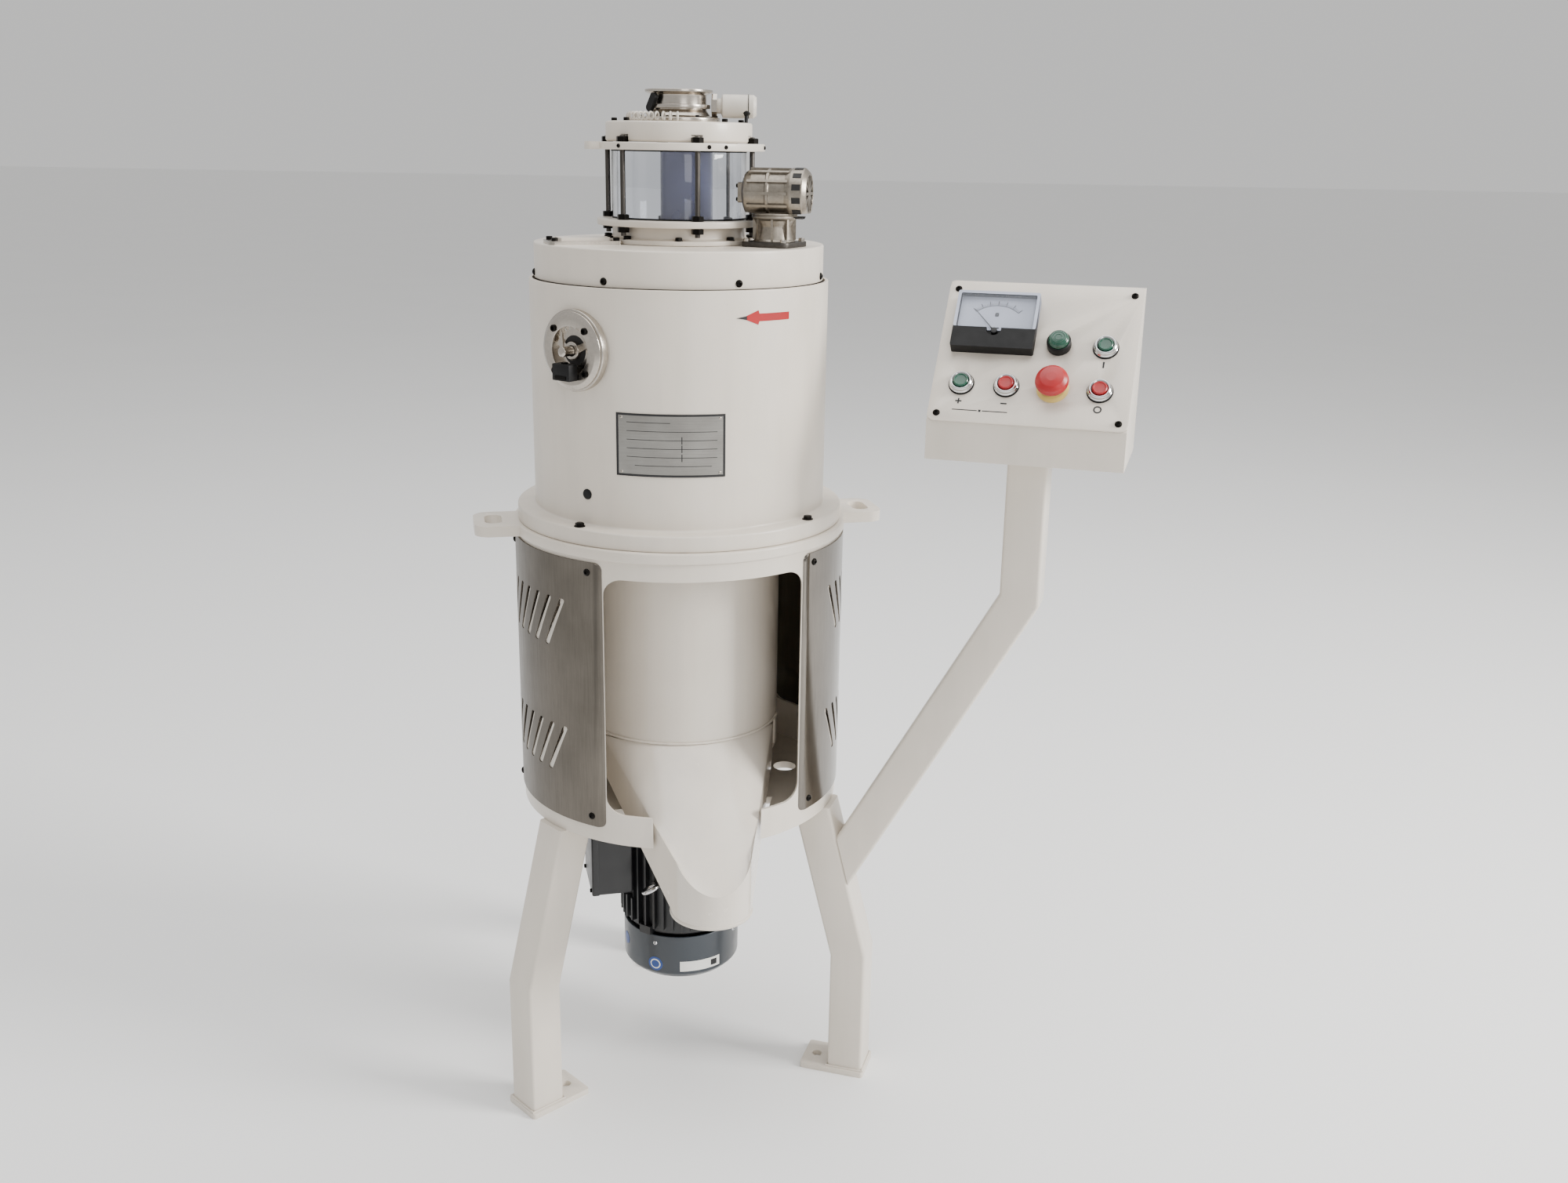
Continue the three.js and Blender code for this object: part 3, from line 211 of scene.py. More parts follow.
def strip(outer, start, end, edge, steps=32, thickness=0.8):
    """A thin plate wrapped on a cylinder; edge(t) gives its lowest and highest z along its length."""
    vertices = []
    for i in range(steps + 1):
        angle = math.radians(start + (end - start) * i / steps)
        bottom, top = edge(i / steps)
        for r, z in ((outer, bottom), (outer + thickness, bottom), (outer + thickness, top), (outer, top)):
            vertices.append((r * math.sin(angle), -r * math.cos(angle), z))
    faces = [[0, 1, 2, 3], list(range(len(vertices) - 4, len(vertices)))]
    for i in range(steps):
        faces += [[4 * i + k, 4 * i + (k + 1) % 4, 4 * i + 4 + (k + 1) % 4, 4 * i + 4 + k] for k in range(4)]
    return vertices, faces


def ring_bar(radius, thick, sides=48, around=12):
    """A torus about Z."""
    angles = [2 * math.pi * k / around for k in range(around)]
    profile = [(radius + thick * math.cos(a), thick * math.sin(a)) for a in angles]
    return lathe(profile, sides, steps=0)


def disc(radius, bottom, top, sides=32):
    """A plain cylinder about Z."""
    return lathe([(0, bottom), (radius, bottom), (radius, top), (0, top)], sides, 0)


def tube(inner, outer, bottom, top, sides=CIRCLE, soft=0.0):
    """A pipe about Z; soft rounds its outer edges."""
    return lathe([(inner, bottom), (outer, bottom, soft), (outer, top, soft), (inner, top)], sides)


def body(shape, name="tool"):
    mesh = bpy.data.meshes.new(name)
    mesh.from_pydata(shape[0], [], shape[1])
    bm = bmesh.new()
    bm.from_mesh(mesh)
    bmesh.ops.remove_doubles(bm, verts=bm.verts, dist=1e-4)
    bmesh.ops.recalc_face_normals(bm, faces=bm.faces)
    bm.to_mesh(mesh)
    bm.free()
    made = bpy.data.objects.new(name, mesh)
    scene.collection.objects.link(made)
    return made


def applied(thing, kind, **settings):
    modifier = thing.modifiers.new("m", kind)
    for key, value in settings.items():
        setattr(modifier, key, value)
    bpy.context.view_layer.update()
    mesh = bpy.data.meshes.new_from_object(thing.evaluated_get(bpy.context.evaluated_depsgraph_get()))
    thing.modifiers.clear()
    thing.data = mesh
    return thing


def combined(thing, operation, others):
    for other in others:
        tool = other if isinstance(other, bpy.types.Object) else body(other)
        applied(thing, "BOOLEAN", object=tool, operation=operation, solver="MANIFOLD")
        bpy.data.objects.remove(tool)
    return thing


def cut(thing, *others):
    return combined(thing, "DIFFERENCE", others)


def join(thing, *others):
    return combined(thing, "UNION", others)


def piece(name, shape, look, rides="frame", replaces=(), bevel=0.0, angle=34, segments=2, extra=()):
    """Makes a finished piece in the row frame; extra lists (shape, material) parts of the same piece."""
    thing = shape if isinstance(shape, bpy.types.Object) else body(shape)
    thing.name = name
    thing.data.name = name
    if bevel:
        applied(thing, "BEVEL", width=bevel, segments=segments, limit_method="ANGLE",
                angle_limit=math.radians(angle), use_clamp_overlap=True, miter_outer="MITER_ARC")
    thing.data.materials.clear()
    thing.data.materials.append(look)
    for polygon in thing.data.polygons:
        polygon.material_index = 0
    if extra:
        bm = bmesh.new()
        bm.from_mesh(thing.data)
        for other, material in extra:
            tool = other if isinstance(other, bpy.types.Object) else body(other)
            if material.name not in thing.data.materials:
                thing.data.materials.append(material)
            index = thing.data.materials.find(material.name)
            for polygon in tool.data.polygons:
                polygon.material_index = index
            bm.from_mesh(tool.data)
            bpy.data.objects.remove(tool)
        bm.to_mesh(thing.data)
        bm.free()
    thing.data.transform(TO_ROW)
    thing.data.update()
    thing.data.polygons.foreach_set("use_smooth", [True] * len(thing.data.polygons))
    thing.data.set_sharp_from_angle(angle=math.radians(32))
    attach(thing, rides)
    if replaces:
        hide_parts(*replaces)
    return thing


# ---------------------------------------------------------------- materials
def srgb(*screen):
    """Screen values of 0 to 255 as a linear colour with full alpha."""
    parts = [value / 255 for value in screen]
    return tuple(c / 12.92 if c <= 0.04045 else ((c + 0.055) / 1.055) ** 2.4 for c in parts) + (1,)


class Look:
    """A procedural material around one Principled shader."""

    def __init__(self, name, metallic=0.0, roughness=0.4, **sockets):
        self.material = bpy.data.materials.new(name)
        self.material.use_nodes = True
        self.nodes, self.links = self.material.node_tree.nodes, self.material.node_tree.links
        self.shader = next(n for n in self.nodes if n.type == "BSDF_PRINCIPLED")
        self.shader.inputs["Metallic"].default_value = metallic
        self.shader.inputs["Roughness"].default_value = roughness
        for key, value in sockets.items():
            self.shader.inputs[key.replace("_", " ")].default_value = value
        self.place = self.nodes.new("ShaderNodeTexCoord")

    def noise(self, scale, detail=4, stretch=(1, 1, 1), roughness=0.55):
        mapping = self.nodes.new("ShaderNodeMapping")
        mapping.inputs["Scale"].default_value = stretch
        self.links.new(self.place.outputs["Object"], mapping.inputs["Vector"])
        texture = self.nodes.new("ShaderNodeTexNoise")
        texture.inputs["Scale"].default_value = scale
        texture.inputs["Detail"].default_value = detail
        texture.inputs["Roughness"].default_value = roughness
        self.links.new(mapping.outputs["Vector"], texture.inputs["Vector"])
        return texture.outputs["Fac"]

    def ramp(self, source, *stops):
        ramp = self.nodes.new("ShaderNodeValToRGB")
        while len(ramp.color_ramp.elements) < len(stops):
            ramp.color_ramp.elements.new(0.5)
        for element, (position, colour) in zip(ramp.color_ramp.elements, stops):
            element.position = position
            element.color = colour if isinstance(colour, tuple) else (colour, colour, colour, 1)
        self.links.new(source, ramp.inputs["Fac"])
        return ramp.outputs["Color"]

    def mixed(self, factor, a, b, kind="MIX"):
        mix = self.nodes.new("ShaderNodeMix")
        mix.data_type = "RGBA"
        mix.blend_type = kind
        for label, kind_of, value in (("Factor", "VALUE", factor), ("A", "RGBA", a), ("B", "RGBA", b)):
            target = next(s for s in mix.inputs if s.name == label and s.type == kind_of)
            if isinstance(value, bpy.types.NodeSocket):
                self.links.new(value, target)
            else:
                target.default_value = value
        return next(s for s in mix.outputs if s.type == "RGBA")

    def tone(self, scale, detail, light, dark):
        """Slow shift between two colours, each with its place on the ramp and its screen values."""
        (start, first), (end, second) = light, dark
        return self.ramp(self.noise(scale, detail), (start, srgb(*first)), (end, srgb(*second)))

    def colour(self, source):
        self.links.new(source, self.shader.inputs["Base Color"])
        return self

    def rough(self, source):
        self.links.new(source, self.shader.inputs["Roughness"])
        return self

    def bumps(self, *layers):
        """Each layer is (height source, depth in metres)."""
        normal = None
        for source, depth in layers:
            bump = self.nodes.new("ShaderNodeBump")
            bump.inputs["Strength"].default_value = 1.0
            bump.inputs["Distance"].default_value = depth
            self.links.new(source, bump.inputs["Height"])
            if normal:
                self.links.new(normal, bump.inputs["Normal"])
            normal = bump.outputs["Normal"]
        self.links.new(normal, self.shader.inputs["Normal"])
        return self.material


def painted(name, light, dark, roughness=0.36, peel=0.00006, coat=0.25):
    """Sprayed enamel: slow shifts of tone, faint rubbed marks, dust specks and orange peel."""
    look = Look(name, Coat_Weight=coat, Coat_Roughness=0.16)
    tone = look.tone(5, 3, (0.3, light), (0.75, dark))
    streaks = look.ramp(look.noise(26, 5, (1, 1, 0.12)), (0.42, 1.0), (0.78, 0.93))
    specks = look.ramp(look.noise(420, 2), (0.70, 1.0), (0.80, 0.86))
    shade = look.mixed(1.0, look.mixed(1.0, tone, streaks, "MULTIPLY"), specks, "MULTIPLY")
    look.colour(shade)
    look.rough(look.ramp(look.noise(38, 5), (0.25, roughness - 0.07), (0.8, roughness + 0.10)))
    return look.bumps((look.noise(650, 2), peel), (look.noise(7, 2), 0.0004))


def metal(name, light, dark, roughness=0.3, grain=(1, 1, 0.03), fineness=500, depth=0.00003, mottle=9):
    """Machined or brushed metal, with a grain that runs along the short axis of the stretch."""
    look = Look(name, metallic=1.0)
    brush = look.noise(fineness, 6, grain, 0.7)
    base = look.tone(mottle, 5, (0.25, light), (0.8, dark))
    look.colour(look.mixed(1.0, base, look.ramp(brush, (0.3, 1.0), (0.7, 0.84)), "MULTIPLY"))
    along = look.ramp(brush, (0.3, roughness - 0.06), (0.7, roughness + 0.1))
    patches = look.ramp(look.noise(17, 4), (0.3, roughness - 0.06), (0.75, roughness + 0.12))
    look.rough(look.mixed(0.5, along, patches))
    return look.bumps((brush, depth))


def cast(name, light, dark, roughness):
    """Cast surface: fine grain with worn, brighter high spots."""
    look = Look(name, metallic=1.0)
    grain = look.ramp(look.noise(300, 3), (0.4, 1.0), (0.7, 0.82))
    look.colour(look.mixed(1.0, look.tone(22, 6, (0.3, light), (0.75, dark)), grain, "MULTIPLY"))
    look.rough(look.ramp(look.noise(60, 4), (0.3, roughness - 0.1), (0.75, roughness + 0.12)))
    return look.bumps((look.noise(380, 4), 0.00012))


def moulded(name, light, dark, roughness, **sockets):
    """Moulded plastic, print or glass-like lens."""
    look = Look(name, **sockets)
    look.colour(look.tone(30, 3, (0.3, light), (0.75, dark)))
    look.rough(look.ramp(look.noise(80, 4), (0.3, roughness - 0.06), (0.75, roughness + 0.08)))
    return look.bumps((look.noise(900, 2), 0.00003))


cream = painted("cream_enamel", (222, 214, 202), (211, 202, 189))
gloss_cream = painted("glossy_cream_enamel", (224, 216, 204), (214, 205, 193), 0.2, 0.00003, 0.8)
cover_steel = metal("dark_brushed_sheet", (118, 112, 104), (94, 89, 82), 0.34, (1, 1, 0.05), 420, 0.00004)
# The right cover's sheet is lighter than the left one's as well as glossier: painted light for the key-lit
# side.
painted_lit_cover = metal("polished_sheet_painted_lit", (128, 123, 116), (108, 103, 97), 0.16, (1, 1, 0.05), 420,
                       0.00002)
# Pale sheet for the slot lips: painted light, standing in for the light seen through the slots.
painted_slot_light = metal("louvre_painted_light", (226, 221, 212), (206, 200, 190), 0.5, (1, 1, 0.05), 420, 0.00004)
stainless = metal("polished_stainless", (205, 198, 188), (178, 170, 160), 0.2, (1, 1, 1), 300, 0.00002, 14)
plate_steel = metal("etched_plate", (172, 170, 165), (146, 143, 138), 0.3, (0.04, 0.04, 1), 500, 0.00002, 20)
iron = cast("machined_iron", (92, 88, 84), (66, 63, 60), 0.5)
aluminium = cast("cast_aluminium", (168, 160, 148), (132, 125, 115), 0.4)
motor_black = painted("motor_enamel", (22, 23, 26), (14, 15, 18), 0.42, 0.0001, 0.15)
blue_grey = painted("fan_cover_enamel", (46, 54, 62), (34, 40, 47), 0.34, 0.00005, 0.3)
rod_steel = metal("rod_steel", (92, 88, 84), (70, 67, 64), 0.3, (1, 1, 1), 500, 0.00003, 30)
chrome = metal("chrome_plate", (228, 228, 228), (212, 212, 214), 0.08, (1, 1, 1), 200, 0.000008, 10)
green = moulded("green_lens", (3, 84, 60), (2, 64, 46), 0.24, Coat_Weight=0.5, Coat_Roughness=0.08)
red = moulded("red_moulding", (170, 6, 16), (150, 4, 12), 0.4, Coat_Weight=0.2, Coat_Roughness=0.2)
black = moulded("black_moulding", (12, 12, 13), (7, 7, 8), 0.55, Specular_IOR_Level=0.3)
oxide = metal("black_oxide", (38, 36, 34), (24, 23, 22), 0.4, (1, 1, 1), 400, 0.00002, 30)
pale = moulded("pale_moulding", (206, 200, 190), (188, 182, 172), 0.45)
yellow = moulded("yellow_ring", (224, 196, 112), (208, 180, 96), 0.4)
blue_label = moulded("blue_label", (44, 78, 150), (34, 64, 128), 0.4)
white_label = moulded("white_label", (236, 236, 232), (222, 222, 216), 0.5)
dial_face = moulded("dial_face", (186, 192, 208), (172, 178, 196), 0.5)
ink = moulded("ink", (24, 24, 26), (16, 16, 18), 0.5)
dark_well = moulded("dark_well", (30, 28, 27), (18, 17, 16), 0.7)


def glazing(name, tint, roughness):
    """Clear wall that light passes through."""
    look = Look(name, roughness=roughness, Transmission_Weight=1.0, IOR=1.47)
    look.colour(look.ramp(look.noise(12, 2), (0.3, tint), (0.8, tuple(0.97 * c for c in tint[:3]) + (1,))))
    return look.bumps((look.noise(20, 2), 0.0001))


def haze(name, tint, opacity, roughness):
    """Thin wall that shows only part of its colour."""
    look = Look(name, roughness=roughness, Alpha=opacity)
    look.colour(look.ramp(look.noise(16, 3), (0.3, tint), (0.8, tuple(0.85 * c for c in tint[:3]) + (1,))))
    return look.bumps((look.noise(24, 2), 0.0002))


glass = glazing("clear_glass", (0.93, 0.95, 0.99, 1), 0.02)
cloudy = haze("cloudy_tube", srgb(136, 140, 176), 0.55, 0.12)
window_pane = haze("meter_window", srgb(214, 220, 232), 0.08, 0.05)


# ---------------------------------------------------------------- fasteners
def cap_screw(radius=4.0, tall=4.0, socket=2.0):
    return lathe([(0, 0), (radius, 0), (radius, tall - 0.5), (radius - 0.5, tall), (socket, tall),
                  (socket, tall - 2), (0, tall - 2)], 24, steps=0, hexed=(4, 5))


def dome_screw(radius=4.5, tall=2.6, socket=1.6):
    top = [(radius * math.cos(a), tall * math.sin(a)) for a in (0.25, 0.5, 0.75, 1.0, 1.2)]
    recess = [(socket, tall * 0.98), (socket, tall - 1.6), (0, tall - 1.6)]
    return lathe([(0, -1), (radius, -1), (radius, 0)] + top + recess, 24, steps=0, hexed=(8, 9))


def hex_bolt(radius=5.0, tall=4.0, washer=7.0):
    return lathe([(0, 0), (washer, 0), (washer, 1.2), (radius, 1.2), (radius, tall + 0.6),
                  (radius - 0.9, tall + 1.2), (0, tall + 1.2)], 24, steps=0, hexed=(3, 4))


def set_of(fastener, matrices):
    return merged(*[moved(fastener, m) for m in matrices])


# ---------------------------------------------------------------- lower shell, covers and flange
SHELL, FLANGE, HOUSING, RING, LID = 216, 219, 190, 213, 183     # outer radii
shell_low, shell_high = level("base_shell")
flange_low, flange_high = level("lifting_flange")
housing_low, housing_high = level("upper_housing")
lid_top = 1147

drum_radius, outlet_radius, outlet_forward, outlet_rim = 133, 52, 232, 325
front_top, side_top, shoulder, chute_wall = 371, 408, 516, 2.5
floor_slope = 0.64
tangent = 90 - math.degrees(math.asin((drum_radius - outlet_radius) / outlet_forward))
to_outlet = shift(0, -outlet_forward)


def unit(azimuth):
    return math.sin(math.radians(azimuth)), -math.cos(math.radians(azimuth))


def wall_tool(outline, azimuth=0, near=SHELL + 30, far=SHELL / 4):
    """An outline seen from outside, pushed inwards through the wall at an azimuth."""
    return moved(prism(outline, far, near), turned(azimuth) @ spin(90, "X"))


def chute_slab(inset, drop, rise, root, steps=40, along=10):
    """Closed slab between the drum's wall and the outlet, as an outline swept through the azimuths."""
    rows = []
    tip = outlet_radius - inset
    outer_low = side_top - 62 + rise - (side_top - front_top) / 2
    for i in range(steps + 1):
        azimuth = tangent * (2 * i / steps - 1)
        sx, sy = unit(azimuth)
        front = math.cos(math.radians(azimuth * 90 / tangent))
        outer_top = side_top + (front_top - side_top) * front
        far = (sx * tip, -outlet_forward + sy * tip)
        near = (sx * root, sy * root)
        upper = Vector((*near, shoulder - drop)), Vector((*far, outer_top - drop))
        lower = Vector((*far, outer_low)), Vector((*near, shoulder - 44 + rise))
        for start, end in (upper, lower):
            rows += [tuple(start.lerp(end, k / along)) for k in range(along + 1)]
    loop = 2 * along + 2
    faces = []
    for i in range(steps):
        for k in range(loop):
            a, b = i * loop + k, i * loop + (k + 1) % loop
            faces += [[a, b, b + loop], [a, b + loop, a + loop]]
    last = steps * loop
    for k in range(along):
        a, b, c, d = k, k + 1, loop - 2 - k, loop - 1 - k
        faces += [[a, d, c], [a, c, b], [last + a, last + b, last + c], [last + a, last + c, last + d]]
    return rows, faces


def notch_tool():
    """What the shell loses to the chute, with a margin around it."""
    margin, below, above = 4, 300, 600
    half, widest = outlet_radius + margin, drum_radius + margin
    nose = [unit(tangent * (2 * i / 24 - 1)) for i in range(25)]
    outline = [(sx * half, -outlet_forward + sy * half) for sx, sy in nose]
    wx, wy = unit(tangent)
    outline += [(wx * widest, wy * widest), (-wx * widest, wy * widest)]
    tool = cut(body(prism(outline, below, 469)), block(-SHELL, SHELL, -100, SHELL, 200, above))
    return join(tool, moved(disc(half, below, above, 72), to_outlet))


side_window = rounded(135, 470, 740, 22, 8)
shell = body(tube(SHELL - 4, SHELL, shell_low, shell_high))
cut(shell, wall_tool(rounded(125, 447, 759, 22, 8)), wall_tool(side_window, 92), wall_tool(side_window, -92))
floor_plate = body(tube(65, SHELL - 2, shell_low, shell_low + 10))
cut(floor_plate, *[moved(disc(16, 300, 500), on_top(30 + 60 * i, 150, 0)) for i in range(1, 5)])
join(shell, floor_plate)
cut(shell, notch_tool())
piece("shell_wall", shell, cream, replaces=["base_shell"], bevel=1.2)


def side_panel(side, name, finish):
    """A curved cover with two rows of leaning slots, a lip along each slot, and its screws. The lips are pale,
    painted light seen through the slots.
    """
    inner, outer, slot_reach, slot_half = SHELL + 0.3, SHELL + 2.3, 33, 4.5
    sheet = body(tube(inner, outer, 426, 777))
    border = rounded(outer * math.sin(math.radians(55.75)), 426.2, 776.8, 9, 6, 0.58)
    combined(sheet, "INTERSECT", [wall_tool(border, 92.25 * side, SHELL + 40, 20)])
    slots, lips = [], []
    lean = 0.5 * slot_reach * side
    for middle in (520, 690):
        low_end, high_end = middle - slot_reach, middle + slot_reach
        outline = fillet([(lean - slot_half, low_end, 4), (lean + slot_half, low_end, 4),
                          (slot_half - lean, high_end, 4), (-slot_half - lean, high_end, 4)])
        # Each lip is pale: painted light that makes the slot look as if light shone through it.
        lip = [(x * 1.15 - side * 2.5, z) for x, z in outline]
        for i in range(7):
            azimuth = (56 + 6.5 * i) * side
            slots.append(wall_tool(outline, azimuth, SHELL + 40, SHELL - 30))
            lips.append(wall_tool(lip, azimuth, SHELL + 0.4, SHELL - 0.7))
    cut(sheet, merged(*slots))
    corners = [(41, 764), (41, 440), (92, 766), (92, 437), (143, 764), (143, 440), (143, 602)]
    screws = set_of(dome_screw(4.6, 2.8), [on_wall(a * side, SHELL + 2.2, z) for a, z in corners])
    piece("side_panel_" + name, sheet, finish, replaces=["side_cover_" + name], bevel=0.5,
          segments=1, extra=[(screws, oxide), (merged(*lips), painted_slot_light)])


# The right cover takes the lighter sheet, painted light where the key light falls; the left one takes the plain
# sheet.
side_panel(1, "right", painted_lit_cover)
side_panel(-1, "left", cover_steel)

flange = body(tube(128, FLANGE, flange_low, flange_high, soft=2))
for azimuth in (90, -90):
    lug = body(prism(rounded(42, -271, -120, 20, 10), flange_low, flange_high))
    cut(lug, prism(rounded(23, -257, -235, 10.5, 8), 700, 900), disc(150, 700, 900, CIRCLE))
    lug.data.transform(turned(azimuth))
    join(flange, lug)
piece("lifting_ring", flange, cream, replaces=["lifting_flange"], bevel=1.6, segments=3)

# ---------------------------------------------------------------- upper housing, lid and their fittings
ring_top = housing_low + 20
housing = body(lathe([(186, housing_low), (RING, housing_low, 1.5), (RING, ring_top, 2.5),
                      (HOUSING, ring_top, 3), (HOUSING, housing_high, 1.2), (186, housing_high),
                      (186, 852), (184, 852), (128, housing_low + 4), (128, housing_low)], CIRCLE))
cut(housing, moved(disc(21, -20, 20, 48), on_wall(-50, HOUSING, 1028)))
ring_bolts = set_of(hex_bolt(5, 4), [on_top(-47 + 90 * i, 202, ring_top - 0.2) for i in range(4)])
plug = lathe([(0, -3), (6.5, -3), (6.5, 1.2, 1), (4, 2.2, 1), (0, 2.2)], 32)
piece("mill_housing", housing, cream, replaces=["upper_housing"],
      extra=[(ring_bolts, oxide), (moved(plug, on_wall(-46, HOUSING, 854)), black)])

lid_low = housing_high + 0.3
lid = body(lathe([(179, lid_low), (LID, lid_low, 1), (LID, lid_top, 2.2), (70.3, lid_top), (70.3, 1138),
                  (179, 1138)], CIRCLE))
join(lid, *[moved(disc(5, 1024, 1139, 24), on_top(azimuth, 124, 0)) for azimuth in (90, 270)])
cut(lid, moved(disc(9, 1130, 1160), on_top(50, 135, 0)))
rim_screws = set_of(dome_screw(4.6, 3.2),
                    [on_wall(-90 + 360 * i / 7, LID - 0.2, lid_low + 7) for i in range(7)])


def on_hatch(rise=0):
    return on_top(-72, 133, lid_top + rise) @ turned(78)


hatch = moved(prism(rounded(45, -24, 24, 6), 0, 4.5), on_hatch())
hatch_step = moved(prism(rounded(32, -15, 15, 4), 4.4, 8), on_hatch())
hatch_bolts = set_of(cap_screw(4, 4), [on_hatch(4.4) @ shift(x, y) for x in (-38, 38) for y in (-17, 17)])
piece("housing_cover", lid, cream, replaces=["housing_lid"],
      extra=[(rim_screws, oxide), (hatch, stainless), (hatch_step, cream), (hatch_bolts, oxide)])


def band(start, end, bottom, top, steps, thickness, radius=HOUSING + 0.6):
    """A plain strip on the housing, between two azimuths and two heights."""
    return strip(radius, start, end, lambda t: (bottom, top), steps, thickness)


plate_left, plate_right, plate_bottom, plate_top = -33, 7, 883, 959
lines = [band(plate_left, plate_right, 956.4, plate_top, 40, 0.5),
         band(plate_left, plate_right, plate_bottom, 885.6, 40, 0.5),
         band(plate_left, -32.2, plate_bottom, plate_top, 3, 0.5),
         band(6.2, plate_right, plate_bottom, plate_top, 3, 0.5)]
for row, (start, end) in enumerate([(-29, -13)] + [(-29, 4)] * 4 + [(-26, 2)]):
    z = 948 - 10.4 * row
    lines.append(band(start, end, z, z + 0.7, 30, 0.25))
lines += [band(-9, -9 + 0.35, z - 4, z + 5, 2, 0.25) for z in (917, 927, 906)]
rivets = set_of(dome_screw(1.8, 1.0, 0.6),
                [on_wall(a, HOUSING + 0.7, z) for a in (-31, 5) for z in (888, 954)])
piece("rating_plate", band(plate_left, plate_right, plate_bottom, plate_top, 40, 0.7, HOUSING), plate_steel,
      extra=[(merged(*lines), ink), (rivets, stainless)])


def arrow_edge(t):
    """Heights of the arrow: its point at t = 0, its head up to a third of its length."""
    if t < 0.34:
        return 1071 - 9 * t / 0.34, 1071 + 9 * t / 0.34
    return 1066.5, 1075.5


arrow_tip = strip(HOUSING + 0.1, 11, 15, lambda t: (1071 - 2.2 * t, 1071 + 2.2 * t), 10, 0.7)
piece("turning_arrow", strip(HOUSING, 13, 34, arrow_edge, 50, 0.5), red,
      extra=[(arrow_tip, ink)])

# gap indicator
indicator = on_wall(-50, HOUSING - 0.6, 1028)
shaft_frame = on_wall(-50, 0, 1028)
seat_ring = lathe([(18, -2), (49, -2), (49, 7, 1.2), (46.5, 7.2), (46.5, 9, 0.8), (41, 12.3, 1.2),
                   (29, 12.3, 0.8), (29, 3), (18, 3)], 96)
indicator_screws = set_of(cap_screw(4.2, 3.6, 2.1),
                          [indicator @ turned(45 + 90 * i) @ shift(0, -35.5, 11) for i in range(4)])
yoke = body(prism(fillet([(-26, 6, 2), (-3, -5.5, 3), (3, -5.5, 3), (26, 6, 2), (22, 12, 2), (0, 3.5, 3),
                          (-22, 12, 2)]), 3, 7))
cut(yoke, disc(8, 0, 20, 40))
yoke.data.transform(indicator)
yoke_hub = lathe([(6.9, 3), (11, 3), (11, 9, 0.8), (6.9, 9)], 40)
ticks = set_of(block(-0.5, 0.5, -28.6, -25.2, 2.9, 3.5), [turned(-60 + 15 * i + 180) for i in range(9)])
well_disc = tube(6.9, 28.8, 1.5, 2.9, 64)
piece("indicator_seat", moved(seat_ring, indicator), stainless, replaces=["indicator_flange"],
      extra=[(yoke, stainless), (moved(yoke_hub, indicator), stainless), (indicator_screws, oxide),
             (moved(well_disc, indicator), dark_well), (moved(ticks, indicator), white_label)])
pointer_shaft = [(0, 160), (9, 160), (9, 167), (6, 167), (6, 214.5, 0.6), (3.2, 216, 0.4), (0, 216)]
pointer = merged(lathe(pointer_shaft, 36),
                 prism(fillet([(-3.4, -4, 2), (3.4, -4, 2), (1.1, 24, 1), (-1.1, 24, 1)]), 212, 214.4))
piece("indicator_pointer", moved(pointer, shaft_frame), stainless, "gap_indicator",
      ["indicator_shaft"])
roller = merged(block(-9, 9, -32, -28, 217.4, 218.2), block(-3, 3, -14.1, -12.2, 207, 213))
piece("position_switch", moved(block(-14, 14, -34, -14, 202.4, 217.5), shaft_frame), black,
      replaces=["limit_switch"], bevel=1.2, extra=[(moved(roller, shaft_frame), oxide)])

# ---------------------------------------------------------------- sight glass and inlet
neck = [(67, 1030), (70, 1030), (70, 1147.3), (95, 1147.3, 0.8), (95, 1153, 1.5), (84, 1153.5, 3), (84, 1168),
        (67, 1168)]
neck_bolts = set_of(hex_bolt(4.2, 3.4, 5.2), [on_top(-10 + 45 * i, 89.4, 1152.8) for i in range(8)])
piece("feed_neck", lathe(neck, CIRCLE), cream, replaces=["glass_neck"],
      extra=[(neck_bolts, oxide)])


def at_rods(z=0):
    return [on_top(4 + 60 * i, 94, z) for i in range(6)]


base_low, base_top = 1168.3, 1176.3
rods = set_of(lathe([(0, 1157.3), (3.2, 1157.3), (3.2, 1275, 0.6), (0, 1275.6)], 24), at_rods())
nut = lathe([(3.5, 0), (6.6, 0), (6.6, 6, 0), (5.8, 6.6), (3.5, 6.6)], 24, 0, hexed=(1, 2))
base_ring = lathe([(67, base_low), (103, base_low, 1), (103, base_top, 1.5), (67, base_top)], CIRCLE)
piece("glass_base", base_ring, cream, replaces=["lower_glass_flange"],
      extra=[(rods, rod_steel), (set_of(nut, at_rods(1161.4)), oxide),
             (set_of(nut, at_rods(base_top)), oxide)])
piece("glass_tube", tube(79, 84, 1177.3, 1258, soft=0.6), glass, replaces=["sight_glass"])
drop_tube = lathe([(30.5, 1178), (33, 1178, 0.5), (33, 1262), (30.5, 1262)], 96)
piece("drop_tube", moved(drop_tube, shift(10, 4)), cloudy)
gaskets = merged(tube(78.6, 84.6, 1176.4, 1178.4, 96), tube(78.6, 84.6, 1256.6, 1258.2, 96))
piece("glass_gaskets", gaskets, black)

